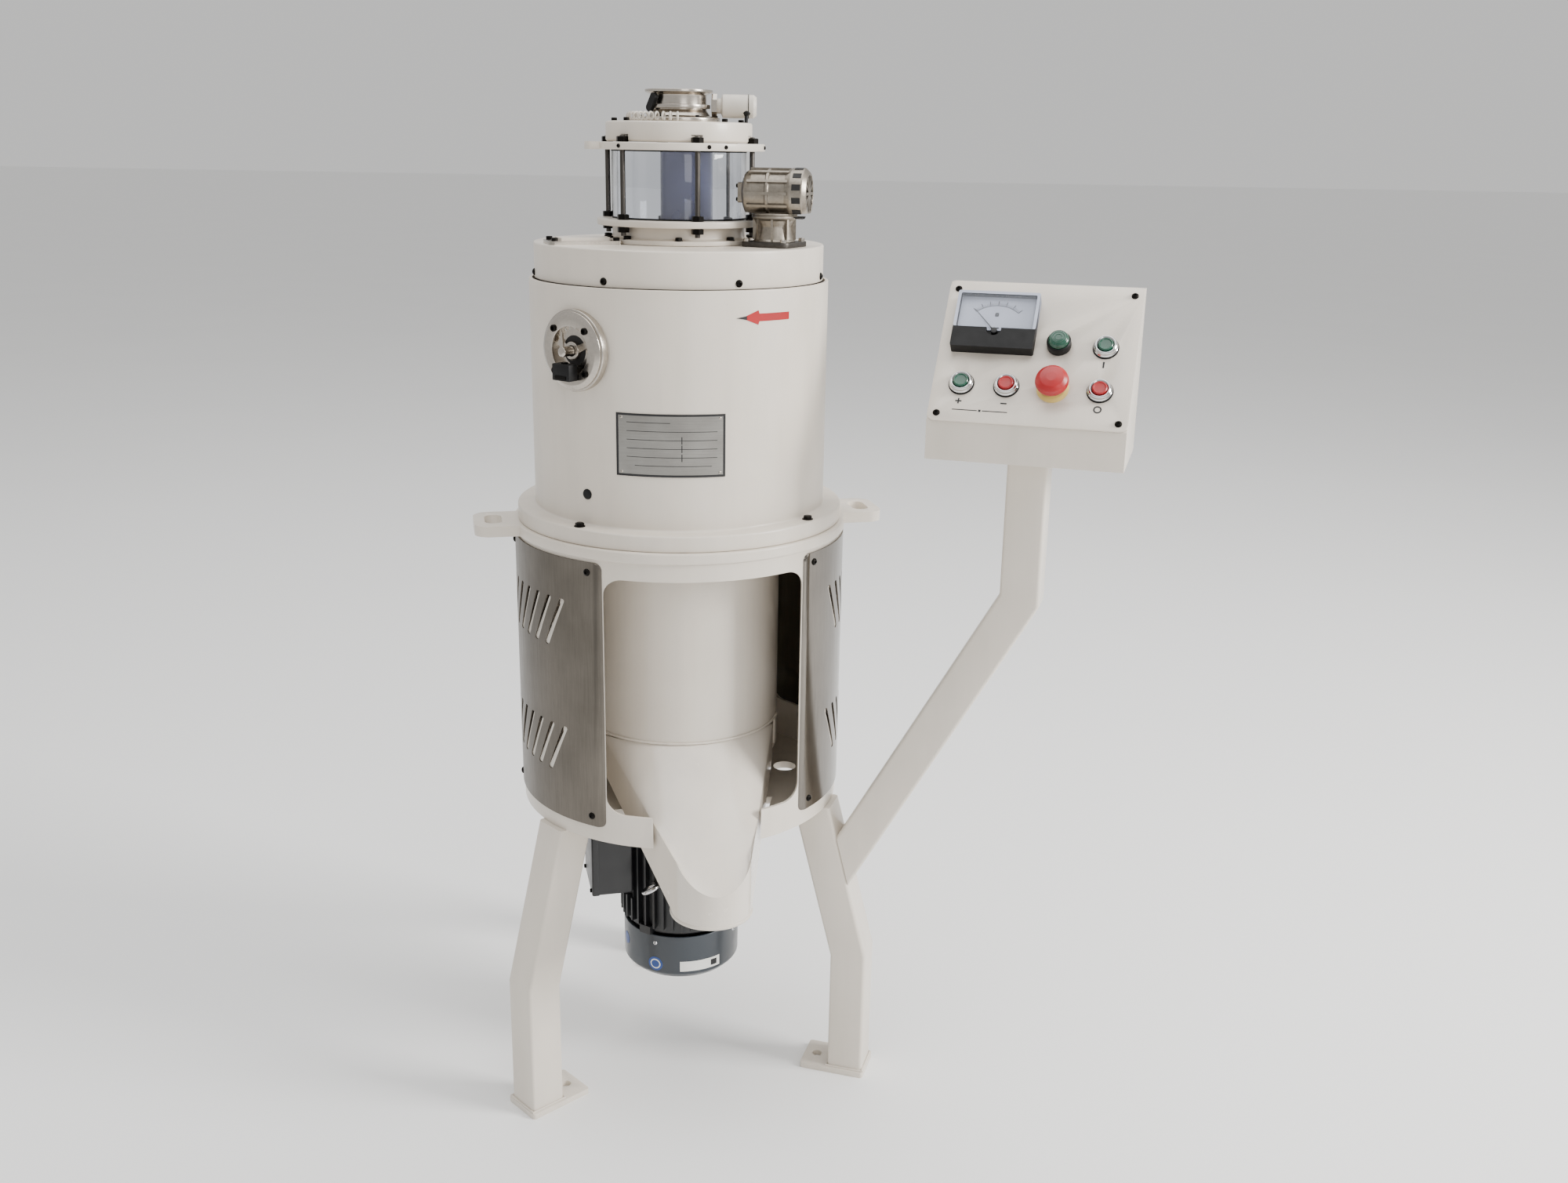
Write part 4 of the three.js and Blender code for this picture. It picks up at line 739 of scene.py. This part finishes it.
head_ring = body(lathe([(79, 1258.3), (107, 1258.3, 1), (107, 1267.3, 1.4), (79, 1267.3)], CIRCLE))
ear = body(prism(rounded(11, -120, -90, 5, 6), 1258.3, 1267.3))
cut(ear, moved(disc(4, 1200, 1300, 24), shift(0, -112)))
ear.data.transform(turned(-80))
join(head_ring, ear)
rim_dots = set_of(dome_screw(2.6, 2), [on_wall(a, 106.8, 1262.8) for a in (10, 22, -52, 70, 130, 190, 250)])
piece("glass_head", head_ring, cream, replaces=["upper_glass_flange"], bevel=0.6,
      extra=[(set_of(nut, at_rods(1267.4)), oxide), (rim_dots, oxide)])

cap_top = 1291.9
cap = body(lathe([(34, 1267.9), (89, 1267.9), (91, 1270, 1), (91, cap_top, 2.6), (34, cap_top)], CIRCLE))
cut(cap, *[moved(disc(8, 1200, 1276.5), spot) for spot in at_rods()])
cap_bolts = set_of(cap_screw(3.6, 4.2, 1.8), [on_top(a, 80, 1291.8) for a in (-62, 34, 94, 154, 214, 262)])
knob = moved(lathe([(0, 0), (2.2, 0), (2.2, 9), (6, 11, 1.5), (6.6, 18, 2), (0, 19)], 32),
             on_top(70, 84, 1291.8) @ Matrix.Rotation(0.35, 4, "Y"))
piece("head_plate", cap, cream, replaces=["head_cap"],
      extra=[(cap_bolts, oxide), (knob, black)])

stub = [(31.5, 1292.2), (51, 1292.2, 1), (51, 1297.2, 1.2), (39, 1299.2, 1.5), (34, 1306.2, 3),
        (34, 1324, 1.5), (42, 1327, 0.4), (42, 1330, 0.6), (31.5, 1330)]
foot_bolts = set_of(cap_screw(2.6, 3, 1.3), [on_top(20 + 60 * i, 45.5, 1297) for i in range(6)])
piece("inlet_pipe", lathe(stub, CIRCLE), stainless, replaces=["inlet_stub"],
      extra=[(tube(35.2, 38.6, 1307.6, 1312.8, 96, 1), stainless), (foot_bolts, oxide)])
toggle = moved(prism(rounded(5, -14, 10, 4), 0, 5), on_wall(-62, 38, 1316) @ turned(-35))
piece("clamp_latch", toggle, black)
coil = set_of(ring_bar(4.4, 1.3, 20, 8),
              [on_top(-126 + 8.2 * k, 60, 1298) @ spin(90, "Y") for k in range(15)])
piece("cable_coil", coil, pale)

sensor_axis = on_wall(78, 0, 1311.6)
sensor = lathe([(0, 40), (9, 40, 1), (9, 52, 0.6), (14, 54, 1.2), (14, 92, 2), (11, 96, 1), (0, 96)], 64)
sensor_nut = lathe([(9, 40.5), (12.4, 40.5), (12.4, 47, 0), (9, 47)], 24, 0, hexed=(1, 2))
piece("level_probe", moved(sensor, sensor_axis), pale, replaces=["level_sensor"],
      extra=[(moved(sensor_nut, sensor_axis), stainless),
             (moved(ring_bar(14.1, 0.5, 64, 8), sensor_axis @ shift(0, 0, 86)), oxide)])

# ---------------------------------------------------------------- actuator
seat = on_top(50, 135, lid_top + 0.3)
foot = body(prism(rounded(32, -32, 32, 10, 8), 0, 6))
cut(foot, disc(9, -5, 22))
column = body(lathe([(10, 5.5), (27, 5.5, 1), (24, 9, 3), (21.5, 24, 4), (24.5, 31, 2), (28, 34, 1),
                     (28, 36.6, 0.4), (27.2, 37.1), (28, 37.6, 0.4), (28, 40, 1), (10, 40)], 72))
ribs = set_of(block(-1.3, 1.3, -26.5, -20, 8, 33), [turned(45 * i + 20) for i in range(8)])
foot.data.transform(seat)
column.data.transform(seat)
seat_bolts = set_of(cap_screw(4, 4), [seat @ shift(x, y, 5.9) for x in (-25, 25) for y in (-25, 25)])
piece("gearbox_column", foot, iron, replaces=["actuator_gearbox"], bevel=0.8,
      extra=[(column, aluminium), (moved(ribs, seat), aluminium), (seat_bolts, stainless)])

gearbox_top = lid_top + 0.3 + 6 + 34
head = turned(50) @ shift(0, -135, gearbox_top + 0.3 + 27 - 4) @ turned(-75) @ spin(90, "Y")
dozen = [turned(30 * i) for i in range(12)]
trim = body(lathe([(0, -38), (18, -38, 2), (25, -35, 4), (27, -26, 3), (27, -8, 1), (29, -7, 0.6),
                   (29, -4, 0.6), (27, -3, 1), (27, 16, 1), (30, 23, 1), (30, 38, 2), (25, 43, 1.5),
                   (22, 43.4, 0.5), (22, 34), (0, 34)], 72))
flutes = body(set_of(block(-1.6, 1.6, 25.5, 29.6, -30, 20), dozen))
underside = block(23.2, 60, -60, 60, -60, 60)
cut(trim, underside)
cut(flutes, underside)
join(trim, prism(rounded(12, -12, 12, 3), -44, -37))
trim.data.transform(head)
flutes.data.transform(head)
grille = merged(set_of(block(-1.7, 1.7, 4, 23, 35, 43), dozen),
                lathe([(0, 34), (6.5, 34), (6.5, 43, 1), (0, 44)], 32))
well = merged(disc(21.9, 34.1, 34.6, 64),
              set_of(block(-3.6, 3.6, 29.2, 30.25, 26, 36.5), [turned(15 + 30 * i) for i in range(12)]))
boss_screws = [head @ shift(x, y, -44) @ spin(180, "X") for x in (-8, 8) for y in (-8, 8)]
piece("actuator_head", trim, aluminium, replaces=["actuator_motor"],
      extra=[(flutes, aluminium), (moved(grille, head), aluminium), (moved(well, head), dark_well),
             (set_of(cap_screw(2.4, 2.6), boss_screws), oxide)])

# ---------------------------------------------------------------- drum and chute
drum_low, drum_high = level("collecting_drum")
drum = body(tube(drum_radius - chute_wall, drum_radius, drum_low, drum_high))
door = [(0, 0)]
for i in range(25):
    sx, sy = unit((tangent - 3) * (2 * i / 24 - 1))
    door.append((sx * 300, sy * 300))
cut(drum, prism(door, drum_low + chute_wall, shoulder - chute_wall))
ramp_place = shift(0, 0, 474 + floor_slope * 130.5) @ Matrix.Rotation(math.atan(floor_slope), 4, "X")
ramp_plate = body(moved(block(-200, 200, -250, 250, -chute_wall, 0), ramp_place))
combined(ramp_plate, "INTERSECT", [disc(131.5, drum_low, drum_high, CIRCLE)])
join(drum, ramp_plate)
cut(drum, disc(48.3, drum_low - 9, drum_high + 9, 72))
piece("product_drum", drum, cream, replaces=["collecting_drum"])

chute_root = drum_radius * math.cos(math.pi / 24) - 0.3
bore_radius = outlet_radius - chute_wall
chute = body(chute_slab(0, 0, 0, chute_root))
hollow = body(chute_slab(chute_wall, chute_wall, chute_wall, chute_root - 6))
collar = body(moved(disc(outlet_radius, outlet_rim, shoulder, 96), to_outlet))
combined(collar, "INTERSECT", [chute_slab(0, 0, -200, chute_root)])
bore = body(moved(disc(bore_radius, outlet_rim - 10, shoulder, 96), to_outlet))
combined(bore, "INTERSECT", [chute_slab(chute_wall, chute_wall, -200, chute_root)])
join(chute, collar)
cut(chute, hollow, bore, disc(drum_radius + 0.3, 300, 540, CIRCLE))
rim = moved(lathe([(49.6, outlet_rim + 0.2), (52.6, outlet_rim + 0.2, 1), (53.4, outlet_rim + 2.6, 1),
                   (52.6, outlet_rim + 5, 1), (49.6, outlet_rim + 5)], 96), to_outlet)


def cord_of(points, radius, around=8, wobble=0.0):
    """A bead along a line of points, with rounded, slightly uneven sections."""
    vertices = []
    for i, p in enumerate(points):
        along = (points[min(i + 1, len(points) - 1)] - points[max(i - 1, 0)]).normalized()
        side = along.cross(Vector((0, 0, 1)) if abs(along.z) < 0.9 else Vector((1, 0, 0))).normalized()
        up = side.cross(along)
        r = radius * (1 + wobble * math.sin(i * 2.1) * math.cos(i * 0.7))
        for k in range(around):
            angle = 2 * math.pi * k / around
            vertices.append(tuple(p + side * r * math.cos(angle) + up * r * math.sin(angle)))
    faces = [list(range(around)), list(range(len(vertices) - around, len(vertices)))]
    for i in range(len(points) - 1):
        row, ahead = i * around, (i + 1) * around
        for k in range(around):
            n = (k + 1) % around
            faces.append([row + k, row + n, ahead + n, ahead + k])
    return vertices, faces


weld = []
for i in range(61):
    sx, sy = unit((tangent - 1) * (2 * i / 60 - 1))
    weld.append(Vector((sx * (drum_radius + 1.2), sy * (drum_radius + 1.2), shoulder + 0.3)))
piece("outlet_chute", chute, gloss_cream, replaces=["discharge_chute"], bevel=0.8, angle=28,
      extra=[(rim, cream), (cord_of(weld, 1.6, 8, 0.25), cream)])

# ---------------------------------------------------------------- motor
motor_low = level("motor_body")[0]
flange_face = shell_low - 0.3
bore_low, bore_high = motor_low + 30, flange_face - 30
fins = []
for i in range(40):
    for reach, share in ((76, -0.5), (76, -0.16), (87, -0.11), (87, 0.11), (76, 0.16)):
        angle = 2 * math.pi / 40 * (i + share)
        fins.append((reach * math.cos(angle), reach * math.sin(angle)))
ribbed = body(prism(fins, motor_low + 12, flange_face - 20))
cut(ribbed, disc(14, motor_low, flange_face, 96))
shield = [(13.2, motor_low), (74, motor_low, 2), (79, motor_low + 4, 3), (79, motor_low + 12, 1),
          (79, flange_face - 22, 1), (84, flange_face - 18, 2), (84, flange_face - 12, 1),
          (100, flange_face - 11.5, 1.2), (100, flange_face, 1.2), (64, flange_face), (64, flange_face + 4.2),
          (13.2, flange_face + 4.2), (13.2, bore_high), (43, bore_high), (43, bore_low), (13.2, bore_low)]
core = join(body(lathe(shield, 96)), ribbed)
cut(core, disc(43, bore_low, bore_high, 64), block(-150, -75, -60, 60, 250, 384))
lugs = set_of(block(-9, 9, -88, -74, motor_low + 2, motor_low + 14), [turned(a) for a in (45, 135, 225, 315)])
eye = merged(lathe([(0, -4), (8, -4), (8, 4, 1), (5, 6, 1), (4, 12), (0, 12)], 32),
             moved(ring_bar(10.6, 3.4, 48, 14), shift(0, 0, 23) @ spin(90, "X") @ spin(30, "Y")))
eye = moved(eye, turned(-34) @ shift(0, -77, 285) @ spin(90, "X"))
flange_bolts = set_of(hex_bolt(5.4, 4.4, 8), [turned(45 + 90 * i) @ shift(0, -92, flange_face - 11.6)
                                              @ spin(180, "X") for i in range(4)])
piece("motor_frame", core, motor_black, replaces=["motor_body"],
      extra=[(lugs, motor_black), (eye, chrome), (flange_bolts, oxide)])

terminal_lid = applied(body(block(-133, -122, -48, 42, 262, 372)), "BEVEL", width=2.5, segments=3)
gland = moved(lathe([(0, 0), (11, 0), (11, 6, 1), (9, 7, 0), (9, 14, 1.5), (0, 15)], 24),
              shift(-104, -3, 262.6) @ spin(180, "X"))
box_screws = [shift(-132.8, y, z) @ spin(-90, "Y") for y in (-41, 35) for z in (269, 365)]
piece("terminal_housing", block(-132.6, -75.3, -47.6, 41.6, 262.4, 371.6), motor_black,
      replaces=["terminal_box"], bevel=4, segments=3,
      extra=[(terminal_lid, motor_black), (gland, black), (set_of(cap_screw(3, 2.6), box_screws), oxide)])

cover_low, cover_high = level("fan_cover")
COWL = 82
cowl = body(lathe([(0, cover_low), (73, cover_low, 2), (COWL, cover_low + 9, 7), (COWL, cover_high, 0.8),
                   (COWL - 2, cover_high), (COWL - 2, cover_low + 9, 6), (73, cover_low + 2),
                   (0, cover_low + 2)], 120, 6))
opening = prism(rounded(2.6, -4.6, 4.6, 2.4, 4), cover_low - 4, cover_low + 6)
opening_rows = ((20, 8), (34, 14), (48, 20), (61, 26))       # radius and number of openings
cut(cowl, set_of(opening, [on_top(360 * i / count, radius, 0) for radius, count in opening_rows
                           for i in range(count)]))
cowl_screws = set_of(dome_screw(3.2, 2.2),
                     [on_wall(a, COWL - 0.1, cover_high - 12) for a in (-36, 54, 144, 234)])


def patch(azimuth, z, half_angle, half_height, raise_by, steps=12, round_corners=True):
    """A label wrapped on the cowl; its ends are rounded when asked."""
    def edge(t):
        x = abs(2 * t - 1)
        h = half_height * math.sqrt(max(0.02, 1 - x * x)) if round_corners else half_height
        return z - h, z + h
    return strip(COWL, azimuth - half_angle, azimuth + half_angle, edge, steps, raise_by)


labels = [(patch(-36, 159, 7.6, 10.5, 0.25, 24), blue_label),
          (patch(-36, 159, 5.4, 7.4, 0.4, 20), white_label),
          (patch(-36, 159, 4.2, 5.6, 0.55, 20), blue_label),
          (patch(10, 158, 21, 7.6, 0.3, 24, False), white_label),
          (patch(24, 158, 3.4, 4.4, 0.45, 8, False), ink),
          (patch(-80, 176, 6, 9, 0.3, 16), blue_label)]
piece("fan_cowl", cowl, blue_grey, replaces=["fan_cover"],
      extra=[(cowl_screws, chrome)] + labels)


# ---------------------------------------------------------------- legs and arm
LEG_TUBE, FOOT_REACH, BEND_REACH, TOP_REACH = 50, 255, 280, 223      # reaches from the rotor's axis
ARM_FOOT, ARM_KNEE, ARM_TOP, ARM_REACH = 330, 724, 907, 460          # heights and the upper part's reach
tube_section = rounded(LEG_TUBE / 2, -LEG_TUBE / 2, LEG_TUBE / 2, 4.5, 4)
leg_slope = (BEND_REACH - TOP_REACH) / (flange_face - 190)
slant = Vector((-leg_slope, 1)).normalized()
inward = Vector((-slant.y, slant.x))
start = Vector((BEND_REACH, 190)) + inward * (LEG_TUBE / 2)
knee_z = start.y + slant.y * (start.x - FOOT_REACH) / -slant.x
leg_top = start + slant * ((flange_face - start.y) / slant.y)
bisector = (Vector((0, 1)) + slant).normalized()
foot_frame = turned(-90)
leg_line = [(FOOT_REACH, 7.8), (FOOT_REACH, knee_z), (leg_top.x, flange_face)]
seam_line = [Vector((x, y, 8.6)) for x, y in [(-26, -281), (26, -281), (26, -229), (-26, -229), (-26, -281)]]
for name, azimuth in (("left", -60), ("right", 60), ("rear", 180)):
    bar = sweep(tube_section, leg_line, [(0, 1), tuple(bisector), (0, 1)])
    sole = body(prism(rounded(30, -283, -191, 4, 5), 0, 8))
    cut(sole, moved(disc(7, -5, 20), shift(0, -209)))
    sole.data.transform(turned(azimuth))
    piece("leg_" + name + "_post", moved(bar, turned(azimuth) @ foot_frame), cream,
          replaces=["leg_" + name],
          extra=[(applied(sole, "BEVEL", width=1.0, segments=2, limit_method="ANGLE"), cream),
                 (moved(cord_of(seam_line, 1.8, 6), turned(azimuth)), cream)])

leg_reach = TOP_REACH + (flange_face - ARM_FOOT) * leg_slope
arm_angle = math.atan2(ARM_KNEE - ARM_FOOT, ARM_REACH - leg_reach)
leg_normal = Vector((slant.y, -slant.x))
direction = Vector((math.cos(arm_angle), math.sin(arm_angle)))
foot_point = Vector((leg_reach, ARM_FOOT)) + direction * (0.4 / direction.dot(leg_normal))
arm_bisector = (direction + Vector((0, 1))).normalized()
arm_line = [tuple(foot_point), (ARM_REACH, ARM_KNEE), (ARM_REACH, ARM_TOP - 0.3)]
arm = sweep(tube_section, arm_line, [tuple(leg_normal), tuple(arm_bisector), (0, 1)])
piece("console_post", moved(arm, turned(60) @ foot_frame), cream, replaces=["console_arm"])

# ---------------------------------------------------------------- console
tilt = math.radians(40)
LIP, HALF, BACK = 47, 118, 75
slope_rise, slope_run = 200 * math.cos(tilt), 200 * math.sin(tilt)
post = unit(60)
console = shift(post[0] * ARM_REACH, post[1] * ARM_REACH, ARM_TOP) @ turned(-30)
slope_middle = shift(0, -BACK + slope_run / 2, LIP + slope_rise / 2)
cover = console @ slope_middle @ spin(50, "X")
sideways = turned(90) @ spin(90, "X")
face = 2.3


def on_face(x, y, z=0):
    return cover @ shift(x, y, z)


def side_profile(inset):
    return [(-BACK + inset, inset), (BACK - inset, inset), (BACK - inset, LIP + slope_rise - inset),
            (-BACK + slope_run + inset / 2, LIP + slope_rise - inset), (-BACK + inset, LIP + inset / 4)]


case = body(moved(prism(side_profile(0), -HALF, HALF), sideways))
cut(case, moved(prism(side_profile(2), 2 - HALF, HALF - 2), sideways),
    moved(block(12 - HALF, HALF - 12, -88, 88, -8, 8), slope_middle @ spin(50, "X")))
case.data.transform(console)
piece("console_case", case, cream, replaces=["console_box"], bevel=1.6, segments=3)

spots = {"plus": (-83, -48), "minus": (-29, -48), "stop_switch": (26, -48), "stop": (81, -48),
         "lamp": (26, 12.5), "start": (81, 12.5)}
METER = (-53, 36)
lid_plate = body(prism(rounded(HALF, -100, 100, 9, 6), 0.3, face))
cut(lid_plate, *[moved(disc(11.3, -9, 9, 48), shift(x, y)) for x, y in spots.values()],
    moved(disc(32, -9, 9, 72), shift(*METER)))
lid_plate.data.transform(cover)
panel_screws = set_of(dome_screw(4.4, 2.8),
                      [on_face(x, y, face) for x in (11 - HALF, HALF - 11) for y in (-90, 88)])


print_depth = face - 0.1, face + 0.25


def mark(x, y, *bars):
    """Thin printed bars; each has its centre, width and height."""
    return [moved(block(cx - w / 2, cx + w / 2, cy - h / 2, cy + h / 2, *print_depth), on_face(x, y))
            for cx, cy, w, h in bars]


marks = (mark(-83, -72, (0, 0, 7.5, 1.8), (0, 0, 1.8, 7.5)) + mark(-29, -72, (0, 0, 7.5, 1.8))
         + mark(81, -11, (0, 0, 2, 8.5)) + [moved(tube(3.2, 4.9, *print_depth, 32), on_face(81, -72.5))]
         + mark(-56, -84, (-18, 0, 30, 1.1), (18, 0, 30, 1.1), (0, 0, 3, 3)))
piece("console_face", lid_plate, cream, replaces=["console_cover"], bevel=0.6,
      extra=[(panel_screws, oxide), (merged(*marks), ink)])

seat_low = face + 0.3
collar_profile = [(9.9, -26), (11, -26), (11, seat_low), (14.5, seat_low, 0.5), (14.5, face + 3, 0.6),
                  (13.4, face + 4.2, 0.4), (13.4, face + 7.4, 1), (11.6, face + 9.3, 0.8), (9.9, face + 8.2)]
button_profile = [(0, -20), (9, -20), (9, face + 9.2, 1.0), (7.6, face + 10.6, 0.8), (6.2, face + 9.6, 0.5),
                  (0, face + 9.0)]
gasket = [(11.2, face + 0.05), (15.6, face + 0.05), (15.6, face + 0.9, 0.4), (11.2, face + 0.9)]
for name, look, slot in (("start", green, "green_plastic"), ("stop", red, "red_plastic"),
                         ("plus", green, "green_plastic"), ("minus", red, "red_plastic")):
    at = on_face(*spots[name])
    piece(name + "_collar", moved(lathe(collar_profile, 64), at), chrome,
          replaces=[name + "_bezel"], extra=[(moved(lathe(gasket, 64), at), black)])
    piece(name + "_lens", moved(lathe(button_profile, 56), at), look, name, [name + "_button"])

at = on_face(*spots["lamp"])
lamp_body = lathe([(0, -26), (11, -26), (11, seat_low), (14.5, seat_low, 0.5), (14.5, face + 10, 1.2),
                   (12.6, face + 12, 0.8), (12.6, face + 11), (0, face + 11)], 64)
lamp_lens = lathe([(0, face + 11), (12.3, face + 11), (12.1, face + 15, 2), (9.5, face + 18, 2),
                   (5, face + 19, 2), (0, face + 19.2)], 64)
rings = merged(*[moved(ring_bar(r, 0.45, 48, 8), shift(0, 0, face + z)) for r, z in ((4, 19.1), (7.4, 18.5),
                                                                                     (10.4, 17.1))])
piece("lamp_housing", moved(lamp_body, at), black, replaces=["pilot_lamp"],
      extra=[(moved(lamp_lens, at), green), (moved(rings, at), green)])

at = on_face(*spots["stop_switch"])
head_low = face + 12.3
piece("mushroom_stem", moved(disc(10.1, -30, face + 12, 48), at), black, "emergency_plunger",
      ["emergency_stem"])
mushroom = lathe([(0, head_low), (16, head_low, 1), (19, head_low + 2.2, 1.5), (20, head_low + 6, 2),
                  (18.6, head_low + 11, 3), (14, head_low + 15, 4), (6, head_low + 16.6, 3),
                  (0, head_low + 16.9)], 96)
piece("mushroom_cap", moved(mushroom, at), red, "emergency_knob", ["emergency_head"])
guard = [(11.4, face), (19, face, 0.3), (19, face + 1.0, 0.4), (15, face + 2.6, 0.6), (11.4, face + 2.6)]
piece("mushroom_ring", moved(lathe(guard, 64), at), yellow)

# meter
meter = on_face(*METER)
meter_low = face + 0.3
meter_top = meter_low + 15
well_low = meter_top - 5 - 3
print_top = well_low + 1.0
pivot = Vector((0, -14))
case_body = body(prism(rounded(50, -40, 40, 2.5, 4), meter_low, meter_top))
cut(case_body, prism(rounded(46, -12, 36, 1.5, 3), well_low, meter_low + 16),
    moved(disc(9, well_low, meter_low + 16, 40), shift(*pivot)))
join(case_body, disc(31, -36, meter_low + 1, 72))
applied(case_body, "BEVEL", width=0.8, segments=2, limit_method="ANGLE")
case_body.data.transform(meter)


def dial_bar(angle, inner, outer, width):
    """A printed bar of the scale, between two distances from the needle's pivot."""
    along = Vector((math.sin(math.radians(angle)), math.cos(math.radians(angle))))
    p, q = pivot + along * inner, pivot + along * outer
    side = Vector((along.y, -along.x)) * width / 2
    outline = [tuple(corner) for corner in (p - side, p + side, q + side, q - side)]
    return prism(outline, well_low + 0.8, print_top)


scale_marks = []
for i in range(31):
    outer, width = (44.5, 0.9) if i % 5 == 0 else (41.5, 0.45)
    scale_marks.append(dial_bar(-42 + 84 * i / 30, 38, outer, width))
scale_marks += [dial_bar(-41 + 2 * i, 37.6, 38.2, 1.45) for i in range(42)]
scale_marks += [prism(rounded(2.4, 8, 13.6, 1.2, 4), well_low + 0.8, print_top),
                prism(rounded(5, -9, -7.6, 0.5, 3), well_low + 0.8, print_top)]
edge_frame = body(prism(rounded(50, -12.4, 40, 2.5, 4), meter_low + 0.5, meter_low + 15.1))
cut(edge_frame, prism(rounded(46.2, -12.2, 36.2, 1.5, 3), 0, 40), block(-60, 60, -30, -11.9, 0, 40))
edge_frame.data.transform(meter)
dial = moved(block(-45.8, 45.8, -11.8, 35.8, well_low, well_low + 0.8), meter)
piece("panel_meter", case_body, black, replaces=["meter_housing"],
      extra=[(dial, dial_face), (moved(merged(*scale_marks), meter), ink), (edge_frame, dial_face)])
pane = moved(block(-45.6, 45.6, -11.4, 35.6, meter_low + 14.2, meter_top), meter)
piece("meter_window", pane, window_pane)
needle_z = meter_low + 10
blade = merged(prism([(-0.9, -4), (0.9, -4), (0.25, 40), (-0.25, 40)], needle_z, needle_z + 0.9),
               lathe([(0, needle_z - 2), (4, needle_z - 2), (4, needle_z + 2.4, 0.6), (0, needle_z + 3)], 32))
piece("needle_blade", moved(blade, meter @ shift(*pivot) @ turned(42)), ink, "needle",
      ["meter_needle"])

# ---------------------------------------------------------------- inner parts keep their CAD shape
hammers = ["hammer_set_%d" % number for number in range(1, 5)]
inner_looks = (
    (iron, ["rotor_floor", "adjusting_ring_gear", "adjusting_pinion", "breaker_ring", "bearing_housing",
            "rotor_cage", "shaft_coupling"]),
    (stainless, ["bearing_lower", "bearing_upper", "spindle", "distributor_cone", "motor_shaft"] + hammers),
    (plate_steel, ["screen"]),
    (black, ["motor_fan"]),
)
for look, nodes in inner_looks:
    for node in nodes:
        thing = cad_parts[node]
        thing.data.materials.clear()
        thing.data.materials.append(look)

# ---------------------------------------------------------------- floor and light
floor_look = Look("pale_floor", roughness=0.75)
floor_look.colour(floor_look.ramp(floor_look.noise(1.5, 3), (0.3, (0.90, 0.90, 0.895, 1)),
                                  (0.8, (0.885, 0.885, 0.88, 1))))
floor_material = floor_look.bumps((floor_look.noise(60, 3), 0.0001))
floor_mesh = bpy.data.meshes.new("floor")
floor_mesh.from_pydata([(-90, -90, 0), (90, -90, 0), (90, 90, 0), (-90, 90, 0)], [], [(0, 1, 2, 3)])
floor = bpy.data.objects.new("floor", floor_mesh)
scene.collection.objects.link(floor)
floor.data.materials.append(floor_material)

world = bpy.data.worlds.new("studio")
scene.world = world
world.use_nodes = True
sky = next(n for n in world.node_tree.nodes if n.type == "BACKGROUND")
sky.inputs["Color"].default_value = (1.0, 0.995, 0.985, 1)
sky.inputs["Strength"].default_value = 0.7


def area_light(name, place, size, power, colour=(1, 1, 1), aim=(-0.1, 0, 0.75)):
    data = bpy.data.lights.new(name, "AREA")
    data.shape = "RECTANGLE"
    data.size, data.size_y = size
    data.energy = power
    data.color = colour
    light = bpy.data.objects.new(name, data)
    scene.collection.objects.link(light)
    away = Vector(place) - Vector(aim)
    light.matrix_world = Matrix.Translation(place) @ away.to_track_quat("Z", "Y").to_matrix().to_4x4()
    return light


area_light("key", (3.4, -1.9, 2.5), (1.3, 1.6), 250, (1, 0.985, 0.96))
area_light("front", (0.6, -3.8, 1.8), (1.6, 1.2), 20, (1, 0.99, 0.98))
area_light("overhead", (0.2, 0.2, 4.6), (5, 5), 190, (1, 1, 1), (0.2, 0.2, 0))
